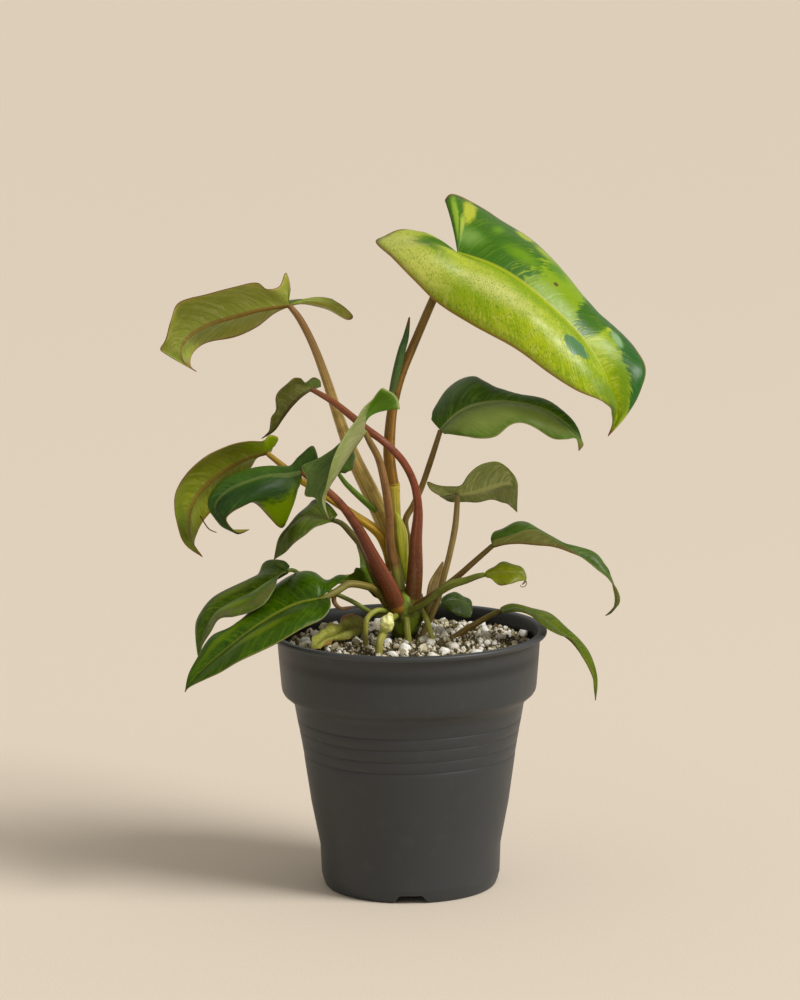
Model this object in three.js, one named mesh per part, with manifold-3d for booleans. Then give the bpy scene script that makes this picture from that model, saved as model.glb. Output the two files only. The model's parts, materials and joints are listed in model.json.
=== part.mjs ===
// A philodendron in a 12 cm nursery pot, in millimetres, +Z up. The origin is the middle of the pot's foot on
// the surface it stands on, and the photographed front faces -Y.
import * as THREE from "three";
import { mergeVertices } from "three/addons/utils/BufferGeometryUtils.js";
import Module from "manifold-3d";

// Pot
const POT_HEIGHT = 112.6;
const RIM_RADIUS = 60;
const BAND_TOP_RADIUS = 57.1;
const BAND_FOOT_RADIUS = 55.2;
const BAND_FOOT_Z = 87;
const BODY_TOP_RADIUS = 49.7;
const BODY_TOP_Z = 79.6;
const BODY_FOOT_RADIUS = 38.8;
const FOOT_RADIUS = 37;
const WALL = 1.4;
const FLOOR_Z = 3;
const FLOOR_THICKNESS = 1.6;
const GROOVE_HEIGHTS = [58.9, 64, 69.4, 74.5];
const GROOVE_DEPTH = 0.3;
const NOTCH_COUNT = 4;
const NOTCH_WIDTH = 12;
const NOTCH_HEIGHT = 3.4;
const FOOT_RING = 4;
const FOOT_BOSS_RADIUS = 8;
const DRAIN_COUNT = 6;
const DRAIN_RADIUS = 4;
const DRAIN_CIRCLE = 24;
const POT_SIDES = 40;
const CROWN_SIDES = 16;

// Growing mix and the clearance that neighbouring solids keep
const SOIL_EDGE_Z = 106;
const SOIL_TOP_Z = 110;
const GAP = 0.3;

// Leaves and stalks
const BLADE_THICKNESS = 0.8;
const BLADE_COLUMNS = 2;
const BLADE_ROWS = 9;
const STALK_SIDES = 8;
const CROWN_SOLE_Z = SOIL_TOP_Z + GAP;

const COLOURS = {
  pot: 0x3b3d40,
  soil: 0xb9ad97,
  crown: 0x5d7a22,
  lime: 0xa3bd2c,
  yellowStalk: 0xa98a2a,
  redStalk: 0x7c3f2a,
  brownStalk: 0x75602c,
  greenStalk: 0x6f9431,
  dryStalk: 0xa8905c,
  root: 0xa0a23a,
  bud: 0xe8ec9a,
  variegated: 0xa9bd3a,
  olive: 0x747b34,
  dark: 0x2f5a22,
  mid: 0x4f7a2a,
  pale: 0x93a56a,
  yellowGreen: 0x8a9a3d,
  withered: 0xa5ab5c,
};

// A blade is a midrib from joint to tip, [x, y, z], and two margins. Each margin station is
// [share of the midrib where its row starts, x, y, z, how far the row bulges to the upper side].
// Rows that start at 0 fan round the basal lobe.
const LEAVES = [
  {
    place: "top_right",
    colour: COLOURS.variegated,
    midrib: [
      [22.5, 8, 275], [36.5, 5, 270.5], [49, 2, 263.5], [61, -1, 253.5], [71, -3, 244],
      [79.5, -5, 233.5], [85.5, -7, 222.5], [89, -8, 212.5], [90, -8, 204.5], [86, -8, 197.5],
    ],
    left: [
      [0, 17.5, 31, 295.5, 1], [0, 20.5, 34, 298, 2], [0, 28.5, 38, 294.5, 3], [0.06, 41.5, 37.5, 287, 4],
      [0.2, 56.5, 33.5, 276.5, 5], [0.38, 70.5, 27.5, 262.5, 5], [0.55, 83, 20.5, 248, 4],
      [0.7, 95.5, 11, 236.5, 4], [0.82, 102.5, -1.5, 227, 3], [0.92, 100, -7, 216.5, 2],
      [0.97, 93, -8, 205.5, 1],
    ],
    right: [
      [0, 8.5, 12, 284, 1], [0, -1, 12, 285.5, 2], [0, -8.5, 8, 283, 3], [0, -12.5, 2, 280.5, 4],
      [0, -5.5, -9, 275, 6], [0.03, 3.5, -12.5, 266, 7], [0.12, 13.5, -11, 256, 8],
      [0.26, 28, -14, 247, 8], [0.42, 46, -20.5, 237.5, 7], [0.58, 60.5, -23, 227, 6],
      [0.72, 72, -22.5, 219.5, 5], [0.85, 83.5, -19, 214, 3], [0.95, 89, -7, 206.5, 1],
    ],
    stalkColour: COLOURS.brownStalk,
    stalk: [
      [-6, 0, 175.5, 2.6], [-7.5, 0, 186, 2.6], [-7.5, 0, 195.5, 2.5], [-6, 0, 209.5, 2.2],
      [-2.5, 1, 223, 2.1], [3.5, 3, 237, 1.9], [12, 6, 256, 1.8], [19, 9, 270, 1.5], [22.5, 9, 274.5, 1.2],
    ],
  },
  {
    place: "top_left",
    colour: COLOURS.olive,
    midrib: [
      [-50.5, 12, 253], [-62, 9, 251.5], [-72, 7, 249], [-82.5, 6, 246], [-90.5, 5, 242],
      [-95.5, 4, 237.5], [-96.5, 3, 233.5], [-94.5, 2, 229], [-90, 1, 226],
    ],
    left: [
      [0, -49.5, 10, 259.5, 0], [0, -51, 8, 267.5, 0], [0, -54, 6, 262, 0], [0.03, -59, 1.5, 261.5, 1],
      [0.12, -63.5, -3, 264.5, 2], [0.25, -72.5, -8, 263, 3], [0.4, -82.5, -8.5, 261, 3],
      [0.55, -92, -6, 258.5, 3], [0.66, -97.5, -6, 255.5, 3], [0.76, -100, -6, 248.5, 2],
      [0.84, -103, -2, 240.5, 2], [0.9, -105.5, 2, 235.5, 1], [0.95, -101.5, 1.5, 232.5, 0],
    ],
    right: [
      [0, -32, 19, 254.5, 2], [0, -23, 20, 247.5, 3.5], [0, -26, 22, 245, 3.5], [0, -36.5, 27, 250, 3],
      [0.02, -47, 28.5, 251.5, 2], [0.1, -56.5, 28.5, 247.5, 3], [0.2, -64.5, 28, 241.5, 3],
      [0.35, -74, 25, 238, 3], [0.5, -83.5, 21, 236.5, 2], [0.64, -89, 14, 235, 2],
      [0.78, -92, 6, 232.5, 1], [0.9, -92.5, 2, 228.5, 0],
    ],
    stalkColour: COLOURS.brownStalk,
    stalk: [
      [-3.5, 9, 125.5, 2.8], [-7.5, 9, 148, 3.4], [-10.5, 9, 158.5, 3.8], [-16, 9, 171.5, 3.9],
      [-23, 9, 186.5, 3.5], [-29, 10, 203, 2.8], [-34.5, 11, 220.5, 2.4], [-40, 12, 235.5, 2],
      [-45.5, 13, 246.5, 1.7], [-50, 13, 252.5, 1.2],
    ],
  },
  {
    place: "red_arch",
    colour: COLOURS.olive,
    midrib: [
      [-40.5, -4, 218.5], [-44.5, -5, 216.5], [-49, -4, 212], [-53.5, -2, 206], [-57, 0, 200.5],
      [-62.5, 2, 196.5],
    ],
    left: [
      [0, -45, -8, 223.5, 1], [0.05, -48, -9.5, 224, 2], [0.2, -51.5, -12.5, 222, 3],
      [0.4, -55, -12.5, 217, 3], [0.6, -55.5, -9, 210.5, 2], [0.78, -58, -4, 205.5, 1],
      [0.9, -59, -1, 200, 0],
    ],
    right: [
      [0, -36.5, 1, 219, 0], [0, -37, 3, 221.5, -1], [0, -40, 4, 222.5, -1], [0, -43, 2, 220.5, 0],
      [0.1, -47.5, 3.5, 220.5, 1], [0.25, -52, 4.5, 217, 2], [0.45, -54.5, 5, 211.5, 2],
      [0.65, -55.5, 4.5, 206.5, 1], [0.85, -58, 3.5, 201, 0],
    ],
    stalkColour: COLOURS.redStalk,
    stalk: [
      [2, -7, 128, 3.6], [3, -8, 140, 3.4], [3.5, -9, 153.5, 3], [4.5, -10, 166.5, 2.6], [3, -11, 178, 2.3],
      [-2, -12, 188.5, 2.1], [-10, -13, 197, 1.9], [-17.5, -12, 202.5, 1.8], [-23.5, -10, 207.5, 1.6],
      [-31.5, -7, 213.5, 1.4], [-40.5, -4, 218.5, 1.1],
    ],
  },
  {
    place: "left_high",
    colour: COLOURS.olive,
    midrib: [
      [-60, -4, 191.5], [-67.5, -5, 189.5], [-75, -6, 186], [-82.5, -8, 181], [-88.5, -10, 175.5],
      [-92.5, -12, 169], [-93.5, -13, 161.5], [-92.5, -14, 154.5], [-88, -15, 148],
    ],
    left: [
      [0, -56.5, -6, 194.5, 0], [0, -55, -8, 198, 0], [0, -58.5, -9, 199.5, 0], [0.02, -61.5, -13, 198, 1],
      [0.08, -67, -15.5, 198.5, 2], [0.2, -75, -20.5, 197, 3], [0.35, -84.5, -25.5, 193, 4],
      [0.5, -92, -26.5, 187.5, 4], [0.65, -97.5, -27, 179.5, 3], [0.78, -99, -22, 170.5, 3],
      [0.88, -98, -19, 160.5, 2], [0.95, -95, -14.5, 153, 1],
    ],
    right: [
      [0, -58, 4, 192.5, 0], [0, -59.5, 8, 189.5, 1], [0.02, -64.5, 8, 187, 2], [0.12, -67, 10, 183, 2],
      [0.25, -71, 10, 179, 3], [0.4, -76.5, 8, 173, 3], [0.55, -83, 3.5, 166.5, 3],
      [0.7, -88, -1.5, 161.5, 2], [0.82, -90.5, -6.5, 156.5, 1], [0.92, -91.5, -10.5, 152, 0],
    ],
    stalkColour: COLOURS.yellowStalk,
    stalk: [
      [-8.5, 0, 141, 1.2], [-9.5, 0, 149, 2.2], [-13.5, -3, 156.5, 2.4], [-24, -7, 165, 2.1],
      [-36, -8, 173.5, 1.9], [-46, -8, 180, 1.7], [-53, -6, 185.5, 1.5], [-60, -4, 191, 1.1],
    ],
  },
  {
    place: "left_front",
    colour: COLOURS.dark,
    midrib: [
      [-45, -25, 186.5], [-51, -27, 185.5], [-59, -29, 185], [-66.5, -31, 183], [-73.5, -33, 180.5],
      [-79.5, -35, 176], [-80.5, -36, 171], [-77, -36, 165.5], [-72, -35, 161.5], [-67, -33, 163],
    ],
    left: [
      [0, -45, -23, 182, 0], [0, -48.5, -21, 174.5, 1], [0, -53, -19, 161.5, 2], [0, -58.5, -23, 166, 5],
      [0.04, -64, -29, 173, 6], [0.15, -66.5, -36, 175.5, 3], [0.3, -70.5, -39, 173.5, 2],
      [0.45, -74, -40, 171.5, 2], [0.58, -76.5, -40, 169, 2], [0.72, -76, -38, 166.5, 1],
      [0.88, -72, -36, 162.5, 0],
    ],
    right: [
      [0, -37.5, -25, 191, 0], [0, -40, -22, 197, 0], [0, -45.5, -20, 192, 1], [0.03, -51, -17, 186.5, 2],
      [0.15, -62, -17, 185.5, 3], [0.3, -71.5, -18, 182.5, 4], [0.45, -78.5, -21, 179.5, 4],
      [0.6, -83.5, -26, 174.5, 3], [0.74, -82, -32, 170.5, 2], [0.88, -77.5, -34.5, 164, 0],
    ],
    stalkColour: COLOURS.redStalk,
    stalk: [
      [-5, -10, 126, 3.8], [-8.5, -12, 134.5, 3.5], [-15, -15, 147.5, 3], [-21, -18, 160, 2.5],
      [-28, -21, 171, 2.1], [-35, -23, 178.5, 1.8], [-40.5, -24, 182.5, 1.5], [-45, -25, 186, 1.1],
    ],
  },
  {
    place: "centre_folded",
    colour: COLOURS.pale,
    midrib: [
      [-18, -27, 204], [-22, -29, 198], [-26.5, -31, 191.5], [-30.5, -34, 186], [-34, -37, 180.5],
      [-35, -39, 174], [-33, -40, 168],
    ],
    left: [
      [0, -3, -24, 212.5, 5.5], [0, -3.5, -23, 216, 5], [0, -5.5, -23, 219, 4.5], [0, -8.5, -24, 221, 3],
      [0, -11, -26, 222, 2], [0, -14.5, -29, 217.5, 1], [0, -18, -32, 214, 0], [0.02, -21, -34, 210, 0],
      [0.12, -26.5, -38, 203.5, -1], [0.3, -30, -42, 197, -2], [0.5, -32.5, -44, 190, -2],
      [0.7, -34.5, -43, 183, -1], [0.86, -36, -41, 176.5, 0],
    ],
    right: [
      [0, -20, -23, 206, 0], [0, -25, -26, 201, 0], [0.05, -30, -29, 197.5, 0], [0.15, -37, -30, 193, 0],
      [0.25, -44.5, -30, 189.5, 0], [0.4, -42.5, -31, 184, 0], [0.55, -43.5, -33, 177.5, 0],
      [0.65, -39, -35, 176.5, 0], [0.8, -37, -37.5, 173, 0], [0.92, -35, -39.5, 170, 0],
    ],
    stalkColour: COLOURS.brownStalk,
    stalk: [
      [-3.5, -4, 130.5, 2.6], [-5, -5, 139.5, 2.6], [-7.5, -5, 150.5, 2.5], [-8, -8, 165, 2.3],
      [-9.5, -13, 178, 2.1], [-12, -18, 190, 1.8], [-15.5, -23, 198, 1.5], [-18, -26, 203.5, 1.1],
    ],
  },
  {
    place: "inner_small",
    colour: COLOURS.dark,
    midrib: [[-29.5, -10, 183.5], [-27.5, -10, 188.5], [-25.5, -8, 193.5], [-24, -6, 197.5]],
    left: [
      [0, -31.5, -12, 184.5, 0], [0.1, -32, -14, 188, 1], [0.45, -31, -13, 192.5, 1],
      [0.8, -27, -9, 196, 0],
    ],
    right: [
      [0, -26.5, -8, 182.5, 0], [0.1, -23, -6, 185, 1], [0.45, -22.5, -4, 189.5, 1],
      [0.8, -23, -4, 194, 0],
    ],
    stalkColour: COLOURS.greenStalk,
    stalk: [[-15.5, 4, 165.5, 1.4], [-22, -1, 172.5, 1.3], [-26.5, -6, 178, 1.1], [-29.5, -10, 183, 0.9]],
  },
  {
    place: "left_inner",
    colour: COLOURS.dark,
    midrib: [
      [-32, -15, 163.5], [-38.5, -17, 165], [-44.5, -19, 165.5], [-49.5, -21, 162], [-53, -23, 157.5],
      [-56, -24, 152.5], [-57, -25, 148.5],
    ],
    left: [
      [0, -31.5, -17, 163, 0], [0.05, -35, -23, 163.5, 1], [0.2, -40.5, -29, 162, 1],
      [0.35, -45, -31, 159, 2], [0.5, -48.5, -31, 156, 2], [0.7, -52, -29, 152.5, 1],
      [0.85, -55, -27, 150, 0],
    ],
    right: [
      [0, -30, -12, 165.5, 0], [0, -32, -8, 167.5, 0], [0.05, -36.5, -5, 170, 1],
      [0.15, -40.5, -4, 170.5, 1], [0.25, -43.5, -6, 167.5, 2], [0.4, -46.5, -10, 163.5, 2],
      [0.55, -51, -15, 160.5, 1], [0.7, -54.5, -19, 156.5, 1], [0.85, -56.5, -23, 152, 0],
    ],
    stalkColour: COLOURS.brownStalk,
    stalk: [
      [-10.5, -3.5, 128, 1.7], [-15.5, -8, 139.5, 1.6], [-19.5, -10, 150.5, 1.6], [-25, -12, 158, 1.4],
      [-28.5, -14, 162, 1.2], [-32, -15, 163.5, 1],
    ],
  },
  {
    place: "lower_left_back",
    colour: COLOURS.mid,
    midrib: [
      [-52, -10, 140.5], [-58.5, -12, 137], [-67, -13, 131.5], [-76, -14, 127], [-83.5, -15, 122],
      [-88.5, -16, 115.5], [-90.5, -17, 108.5], [-90, -17, 103.5],
    ],
    left: [
      [0, -52.5, -13, 140.5, 0], [0, -55.5, -18, 139.5, 1], [0.05, -57.5, -26, 135.5, 2],
      [0.15, -60.5, -30, 130.5, 3], [0.3, -66, -31, 127.5, 3], [0.45, -74.5, -30, 125, 3],
      [0.6, -80.5, -26, 123, 2], [0.72, -85, -22, 116.5, 1], [0.85, -88.5, -19, 110, 0],
    ],
    right: [
      [0, -51, -7, 142.5, 0], [0, -53.5, -3, 144, 0], [0, -59, 1, 143.5, 1], [0, -62.5, 3, 141.5, 1],
      [0.05, -65, 3, 137, 2], [0.18, -71, 3, 132.5, 3], [0.35, -80, 1, 129, 3], [0.5, -87, -3, 125.5, 3],
      [0.65, -91, -8, 119.5, 2], [0.8, -91.5, -13, 112.5, 1], [0.92, -91, -16, 106.5, 0],
    ],
    stalkColour: COLOURS.greenStalk,
    stalk: [
      [-9, -7, 120, 1.3], [-16.5, -10, 122.5, 1.1], [-24, -12.5, 127.5, 1], [-32, -13, 131.5, 1],
      [-42, -11, 136, 1], [-49, -8.5, 140.5, 0.9], [-52, -10, 140.5, 0.8],
    ],
  },
  {
    place: "lower_left_front",
    colour: COLOURS.mid,
    midrib: [
      [-38.5, -30, 132], [-46, -31, 130.5], [-54.5, -33, 127], [-64, -35, 121.5], [-72.5, -37, 115.5],
      [-80, -39, 110], [-87.5, -41, 104], [-93.5, -43, 98], [-95, -43, 95],
    ],
    left: [
      [0, -33, -35, 133.5, 0], [0, -33, -40, 130, 1], [0, -36.5, -44, 126.5, 1], [0.05, -44, -48, 123.5, 2],
      [0.18, -52.5, -51, 119, 3], [0.32, -62, -52, 114.5, 3], [0.46, -71, -52, 110, 3],
      [0.6, -79.5, -50, 105, 2], [0.75, -86.5, -48, 101.5, 1], [0.9, -93, -45, 97.5, 0],
    ],
    right: [
      [0, -25.5, -25, 141.5, 0], [0, -30, -21, 141, 1], [0, -35, -20, 138.5, 2], [0, -40.5, -17, 141, 3],
      [0.05, -46.5, -15, 141, 3], [0.15, -54, -6, 136.5, 3], [0.28, -62.5, -12, 130, 3],
      [0.42, -69.5, -20, 123, 3], [0.55, -75.5, -25, 120, 3], [0.68, -83.5, -31, 117, 2],
      [0.8, -89, -36, 109.5, 1], [0.92, -93.5, -41, 102.5, 0],
    ],
    stalkColour: COLOURS.brownStalk,
    stalk: [
      [-9, -6, 124, 1.6], [-13.5, -11, 131.5, 1.6], [-18, -17, 135, 1.6], [-25, -22, 137, 1.6],
      [-30, -26, 135, 1.5], [-34.5, -29, 133, 1.3], [-38.5, -30, 131.5, 1],
    ],
  },
  {
    place: "right_high",
    colour: COLOURS.dark,
    midrib: [
      [14.5, 4, 199], [21, 3, 205.5], [28, 1, 209.5], [36.5, -1, 211.5], [45, -2, 211.5], [53.5, -3, 210],
      [61.5, -4, 207], [68, -5, 202.5], [73.5, -6, 197], [75.5, -7, 194], [73.5, -8, 191.5],
    ],
    left: [
      [0, 10.5, 9, 203, 0], [0, 12, 15, 206.5, 1], [0.02, 16.5, 21, 213.5, 2], [0.1, 22.5, 23, 218, 3],
      [0.2, 29.5, 19.5, 220, 4], [0.27, 33.5, 18.5, 218, 4], [0.36, 38.5, 17, 214, 4],
      [0.5, 48, 12.5, 211.5, 3], [0.65, 60, 9.5, 209.5, 3], [0.8, 68.5, 2, 206, 2],
      [0.9, 73, -3, 199.5, 1],
    ],
    right: [
      [0, 16, 0, 198, 0], [0, 18.5, -4, 198.5, 1], [0.05, 24.5, -10.5, 198.5, 2], [0.15, 31, -13.5, 198, 3],
      [0.28, 38, -14, 199, 3], [0.4, 44, -13.5, 203.5, 3], [0.5, 49, -13.5, 204.5, 2],
      [0.6, 54.5, -13, 202.5, 2], [0.7, 62, -12, 197.5, 2], [0.8, 68, -12, 197, 1],
      [0.9, 72.5, -10, 197, 0],
    ],
    stalkColour: COLOURS.brownStalk,
    stalk: [
      [0.5, 5, 127.5, 1.8], [1, 6, 137.5, 1.8], [0.5, 6, 148.5, 1.8], [-1, 6, 159, 1.8], [2.5, 6, 166, 1.8],
      [6, 6, 173.5, 1.6], [10, 5, 185, 1.5], [14.5, 4, 199, 1.1],
    ],
  },
  {
    place: "right_middle",
    colour: COLOURS.olive,
    midrib: [
      [21.5, -8, 173.5], [28, -10, 174], [35, -12, 176], [41, -13, 178], [44.5, -13, 178],
      [45.5, -11, 174.5], [45.5, -9, 169.5], [47, -8, 165],
    ],
    left: [
      [0, 14, 2, 170, 0], [0, 17.5, 5, 168, 1], [0.05, 22, 6, 167.5, 2], [0.2, 29, 6, 167, 2],
      [0.35, 35.5, 4, 168.5, 2], [0.5, 40, 1, 168, 2], [0.65, 43, -3, 168, 1], [0.8, 44.5, -6, 167, 0],
    ],
    right: [
      [0, 14.5, -7, 172, 0], [0, 10, -7, 175, 0], [0, 8.5, -8, 178.5, 0], [0, 12.5, -12, 177.5, 0],
      [0, 18, -15, 177.5, 1], [0.05, 23, -19, 179, 1], [0.15, 26.5, -23, 184.5, 2],
      [0.3, 32, -25, 188.5, 3], [0.45, 38, -25, 190, 3], [0.6, 42.5, -22, 187, 2],
      [0.75, 46.5, -16.5, 180.5, 0], [0.85, 47, -14, 175.5, 0], [0.93, 47, -11, 169.5, 0],
    ],
    stalkColour: COLOURS.brownStalk,
    stalk: [
      [4.5, -6, 108.5, 1.2], [8.5, -7, 117, 1.3], [12, -8, 125, 1.4], [15, -9, 136, 1.7],
      [18, -9, 147.5, 1.8], [20.5, -9, 160, 1.7], [21.5, -8, 173, 1.1],
    ],
  },
  {
    place: "right_long",
    colour: COLOURS.mid,
    midrib: [
      [36, -22, 153], [41.5, -23, 154.5], [47.5, -24, 155], [54.5, -25, 154.5], [61.5, -26, 154],
      [68, -27, 152], [75, -28, 148.5], [80.5, -29, 144.5], [85, -29, 141], [88, -29, 135.5],
      [89, -28, 130], [87, -27, 125], [84, -26, 123],
    ],
    left: [
      [0, 35.5, -18, 155.5, 0], [0, 37, -15, 157.5, 1], [0.05, 40.5, -12, 158.5, 2],
      [0.12, 46, -11, 161.5, 2], [0.2, 51, -12, 161.5, 2], [0.28, 56, -14, 158.5, 2],
      [0.38, 60.5, -18, 156.5, 1], [0.47, 65.5, -22, 154.5, 1], [0.56, 72, -23, 153, 1],
      [0.65, 78.5, -24, 150.5, 1], [0.74, 83, -26, 146.5, 0], [0.8, 86, -28, 141.5, 0],
      [0.88, 87.5, -27, 135, 0], [0.95, 88, -26, 128, 0],
    ],
    right: [
      [0, 36, -25, 155.5, 0], [0, 38.5, -28, 157.5, 0], [0.08, 43.5, -31, 159, 1],
      [0.2, 49.5, -32, 161, 1], [0.3, 55, -31, 161, 1], [0.42, 61, -29, 157.5, 1],
      [0.5, 65.5, -29, 154.5, 0], [0.6, 73, -31, 149.5, 0], [0.7, 80.5, -32, 144.5, 0],
      [0.78, 85, -31, 140.5, 0], [0.86, 88.5, -31, 135, 0], [0.94, 89.5, -30, 129, 0],
    ],
    stalkColour: COLOURS.brownStalk,
    stalk: [
      [0.5, -8, 122.5, 1.6], [7, -12.5, 127.5, 1.8], [13.5, -15, 132.5, 1.8], [20.5, -18, 138.5, 1.6],
      [28.5, -20, 146, 1.4], [36, -22, 153, 1.1],
    ],
  },
  {
    place: "right_twisted",
    colour: COLOURS.yellowGreen,
    midrib: [
      [32.5, -27, 141.5], [37, -27, 142], [42.5, -28, 142.5], [47.5, -28, 141.5], [50, -28, 139],
      [48.5, -27, 137],
    ],
    left: [
      [0, 33, -25, 142, 0], [0.08, 36, -23, 144, 0], [0.25, 40, -21, 145.5, 1], [0.5, 45, -21, 145, 1],
      [0.7, 49, -24, 143, 1], [0.85, 50.5, -27, 140.5, 0],
    ],
    right: [
      [0, 33, -29, 141, 0], [0.08, 34.5, -31, 141, 0], [0.22, 38, -34, 138.5, 1], [0.45, 42, -35, 138.5, 1],
      [0.65, 46.5, -33, 139.5, 1], [0.85, 49.5, -29, 139, 0],
    ],
    stalkColour: COLOURS.greenStalk,
    stalk: [
      [1.5, -12, 123.5, 1.2], [8, -17.5, 128, 1.3], [13.5, -20, 133, 1.7], [18.5, -22, 136.5, 1.9],
      [24.5, -24, 138.5, 1.5], [29, -26, 140.5, 1.3], [32.5, -27, 141.5, 1],
    ],
  },
  {
    place: "right_hanging",
    colour: COLOURS.yellowGreen,
    midrib: [
      [39.5, -3, 121], [46, -4, 122], [52.5, -5, 120.5], [59, -6, 117.5], [64.5, -7, 113],
      [70.5, -8, 108.5], [75, -9, 102.5], [78.5, -10, 96], [80.5, -10, 89.5], [80.5, -10, 82.5],
    ],
    left: [
      [0, 40, 0, 121.5, 0], [0.1, 44.5, 3, 122.5, 1], [0.25, 53, 5, 120.5, 1], [0.4, 61, 5, 118, 1],
      [0.52, 68.5, 2, 112.5, 1], [0.65, 74.5, -1, 107, 1], [0.78, 79.5, -5, 99.5, 0],
      [0.9, 81.5, -8, 92.5, 0],
    ],
    right: [
      [0, 40.5, -6, 121, 0], [0.1, 46, -11, 122, 1], [0.25, 52.5, -14, 120.5, 1], [0.4, 59, -16, 116, 1],
      [0.52, 65, -16, 112.5, 1], [0.62, 70, -14, 110, 1], [0.75, 74.5, -13, 103, 0],
      [0.88, 79, -12, 93, 0],
    ],
    stalkColour: COLOURS.brownStalk,
    stalk: [
      [17, 0, 107, 1.4], [24.5, 0, 112, 1.4], [31, -1, 116, 1.3], [36, -2, 119, 1.2], [39.5, -3, 121, 1],
    ],
  },
  {
    place: "base_right",
    colour: COLOURS.dark,
    midrib: [[14, 4, 123], [18, 6, 124], [22.5, 8, 123.5], [26, 9, 121], [27.5, 9, 117.5]],
    left: [
      [0, 14.5, 8, 124, 0], [0.1, 17.5, 11, 126, 1], [0.4, 22, 14, 125.5, 1], [0.65, 25, 15, 123.5, 0],
      [0.85, 28, 13, 121.5, 0],
    ],
    right: [
      [0, 15.5, 1, 121.5, 0], [0.15, 19, -1, 120, 1], [0.45, 22.5, 1, 118, 1], [0.8, 26.5, 5, 116.5, 0],
    ],
    stalkColour: COLOURS.greenStalk,
    stalk: [[5, -1, 123, 1.2], [10, 2, 122, 1.1], [14, 4, 122.5, 0.8]],
  },
  {
    place: "withered",
    colour: COLOURS.withered,
    midrib: [
      [-20, 2, 113.5], [-25.5, -2, 113.5], [-30.5, -8, 113], [-35.5, -16, 112.5], [-40, -24, 111],
      [-42, -28, 109.5],
    ],
    left: [
      [0, -19.5, 3, 110.5, 0], [0.1, -22, -2, 110, 1], [0.35, -29, -10, 110, 1], [0.6, -34.5, -20, 110, 1],
      [0.85, -39, -28, 109.5, 0],
    ],
    right: [
      [0, -18.5, 6, 115, 0], [0.05, -22.5, 8, 118, 1], [0.25, -27, 5, 118, 2], [0.5, -32, -3, 115.5, 1],
      [0.7, -37.5, -12, 115.5, 1], [0.9, -41.5, -22, 111.5, 0],
    ],
  },
  {
    place: "torn_sheath",
    colour: COLOURS.mid,
    midrib: [[-12, -1, 126], [-15, -2, 132.5], [-18, -3, 140.5], [-20.5, -2, 146], [-22, -1, 150]],
    left: [
      [0, -15, -4, 128, 0], [0.2, -18, -6, 131.5, 0], [0.3, -22.5, -9, 135.5, 0], [0.33, -27, -13, 137, 0],
      [0.36, -32, -16, 135.5, 0], [0.42, -30, -15, 139, 0], [0.5, -24, -11, 139.5, 0],
      [0.56, -22.5, -8, 141.5, 0], [0.64, -20.5, -5, 140.5, 0], [0.75, -20.5, -4, 144, 0],
      [0.88, -21.5, -3, 148, 0],
    ],
    right: [
      [0, -9, 2, 126, 0], [0.3, -12.5, 3, 135, 0], [0.6, -17, 2, 142.5, 0], [0.85, -20.5, 1, 147.5, 0],
    ],
  },
];

// Tapered runs that carry no blade, as [x, y, z, radius] from the crown outwards
const RUNS = [
  {
    name: "stem_sheath",
    colour: COLOURS.yellowStalk,
    path: [
      [-3.5, 2.5, 127, 2.9], [-5, 2, 138.5, 2.6], [-5, 2, 149.5, 2.5], [-5.5, 1, 162.5, 2.6],
      [-6, 0, 175, 2.8],
    ],
  },
  {
    name: "young_shoot",
    colour: COLOURS.lime,
    path: [
      [-1.5, -1, 133, 1], [-1.5, -2, 141.5, 1.6], [-2, -3, 150.5, 2.2], [-2.5, -3, 156, 2.2],
      [-3.5, -2.5, 160.5, 1.4], [-4.5, -2, 163.5, 0.6],
    ],
  },
  {
    name: "rolled_spear",
    colour: COLOURS.dark,
    path: [
      [-7, -3.5, 213.5, 1.2], [-4.5, -3, 224, 1.8], [-2, -1.5, 234, 1.7], [0, -0.5, 240.5, 1.3],
      [1.5, 0, 248.5, 0.4],
    ],
  },
  {
    name: "papery_sheath",
    colour: COLOURS.dryStalk,
    path: [
      [8.5, -2, 119, 1.6], [10, -3, 125, 2.6], [11, -4, 132.5, 2.4], [13, -5, 138, 1.6], [15, -6, 143, 0.5],
    ],
  },
  {
    name: "root_left",
    colour: COLOURS.root,
    path: [
      [-9, -9.5, 122.5, 1.1], [-13.5, -15, 124, 1.2], [-17.5, -18, 121.5, 1.2], [-18.5, -19, 117, 1.2],
      [-18.5, -19, 109.5, 1.1],
    ],
  },
  {
    name: "root_front",
    colour: COLOURS.root,
    path: [[-3, -8, 124, 1.3], [-1, -11, 120, 1.4], [-0.5, -13, 114, 1.4], [0.5, -13, 105, 1.4]],
  },
  {
    name: "root_right",
    colour: COLOURS.root,
    path: [[5.5, -6.5, 122.5, 1.2], [7.5, -10.5, 119.5, 1.2], [9, -12, 115, 1.2], [11, -13, 107.5, 1.1]],
  },
  {
    name: "root_thick",
    colour: COLOURS.root,
    path: [
      [-5.5, -12, 121, 1.4], [-9, -20, 120, 1.6], [-10.5, -27, 117, 1.7], [-12.5, -31, 113, 1.7],
      [-13, -33, 104.5, 1.6],
    ],
  },
  {
    name: "root_bud",
    colour: COLOURS.bud,
    path: [[-10.5, -28, 118, 1.8], [-9.5, -28, 119.5, 2.8], [-9, -28, 122, 3], [-8.5, -28, 124, 1.6]],
  },
];

const wasm = await Module();
wasm.setup();

function toSolid(geometry) {
  const bare = geometry.clone();
  bare.deleteAttribute("normal");
  bare.deleteAttribute("uv");
  const merged = mergeVertices(bare, 1e-4);
  return new wasm.Manifold(
    new wasm.Mesh({
      numProp: 3,
      vertProperties: merged.attributes.position.array,
      triVerts: new Uint32Array(merged.index.array),
    }),
  );
}

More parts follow.
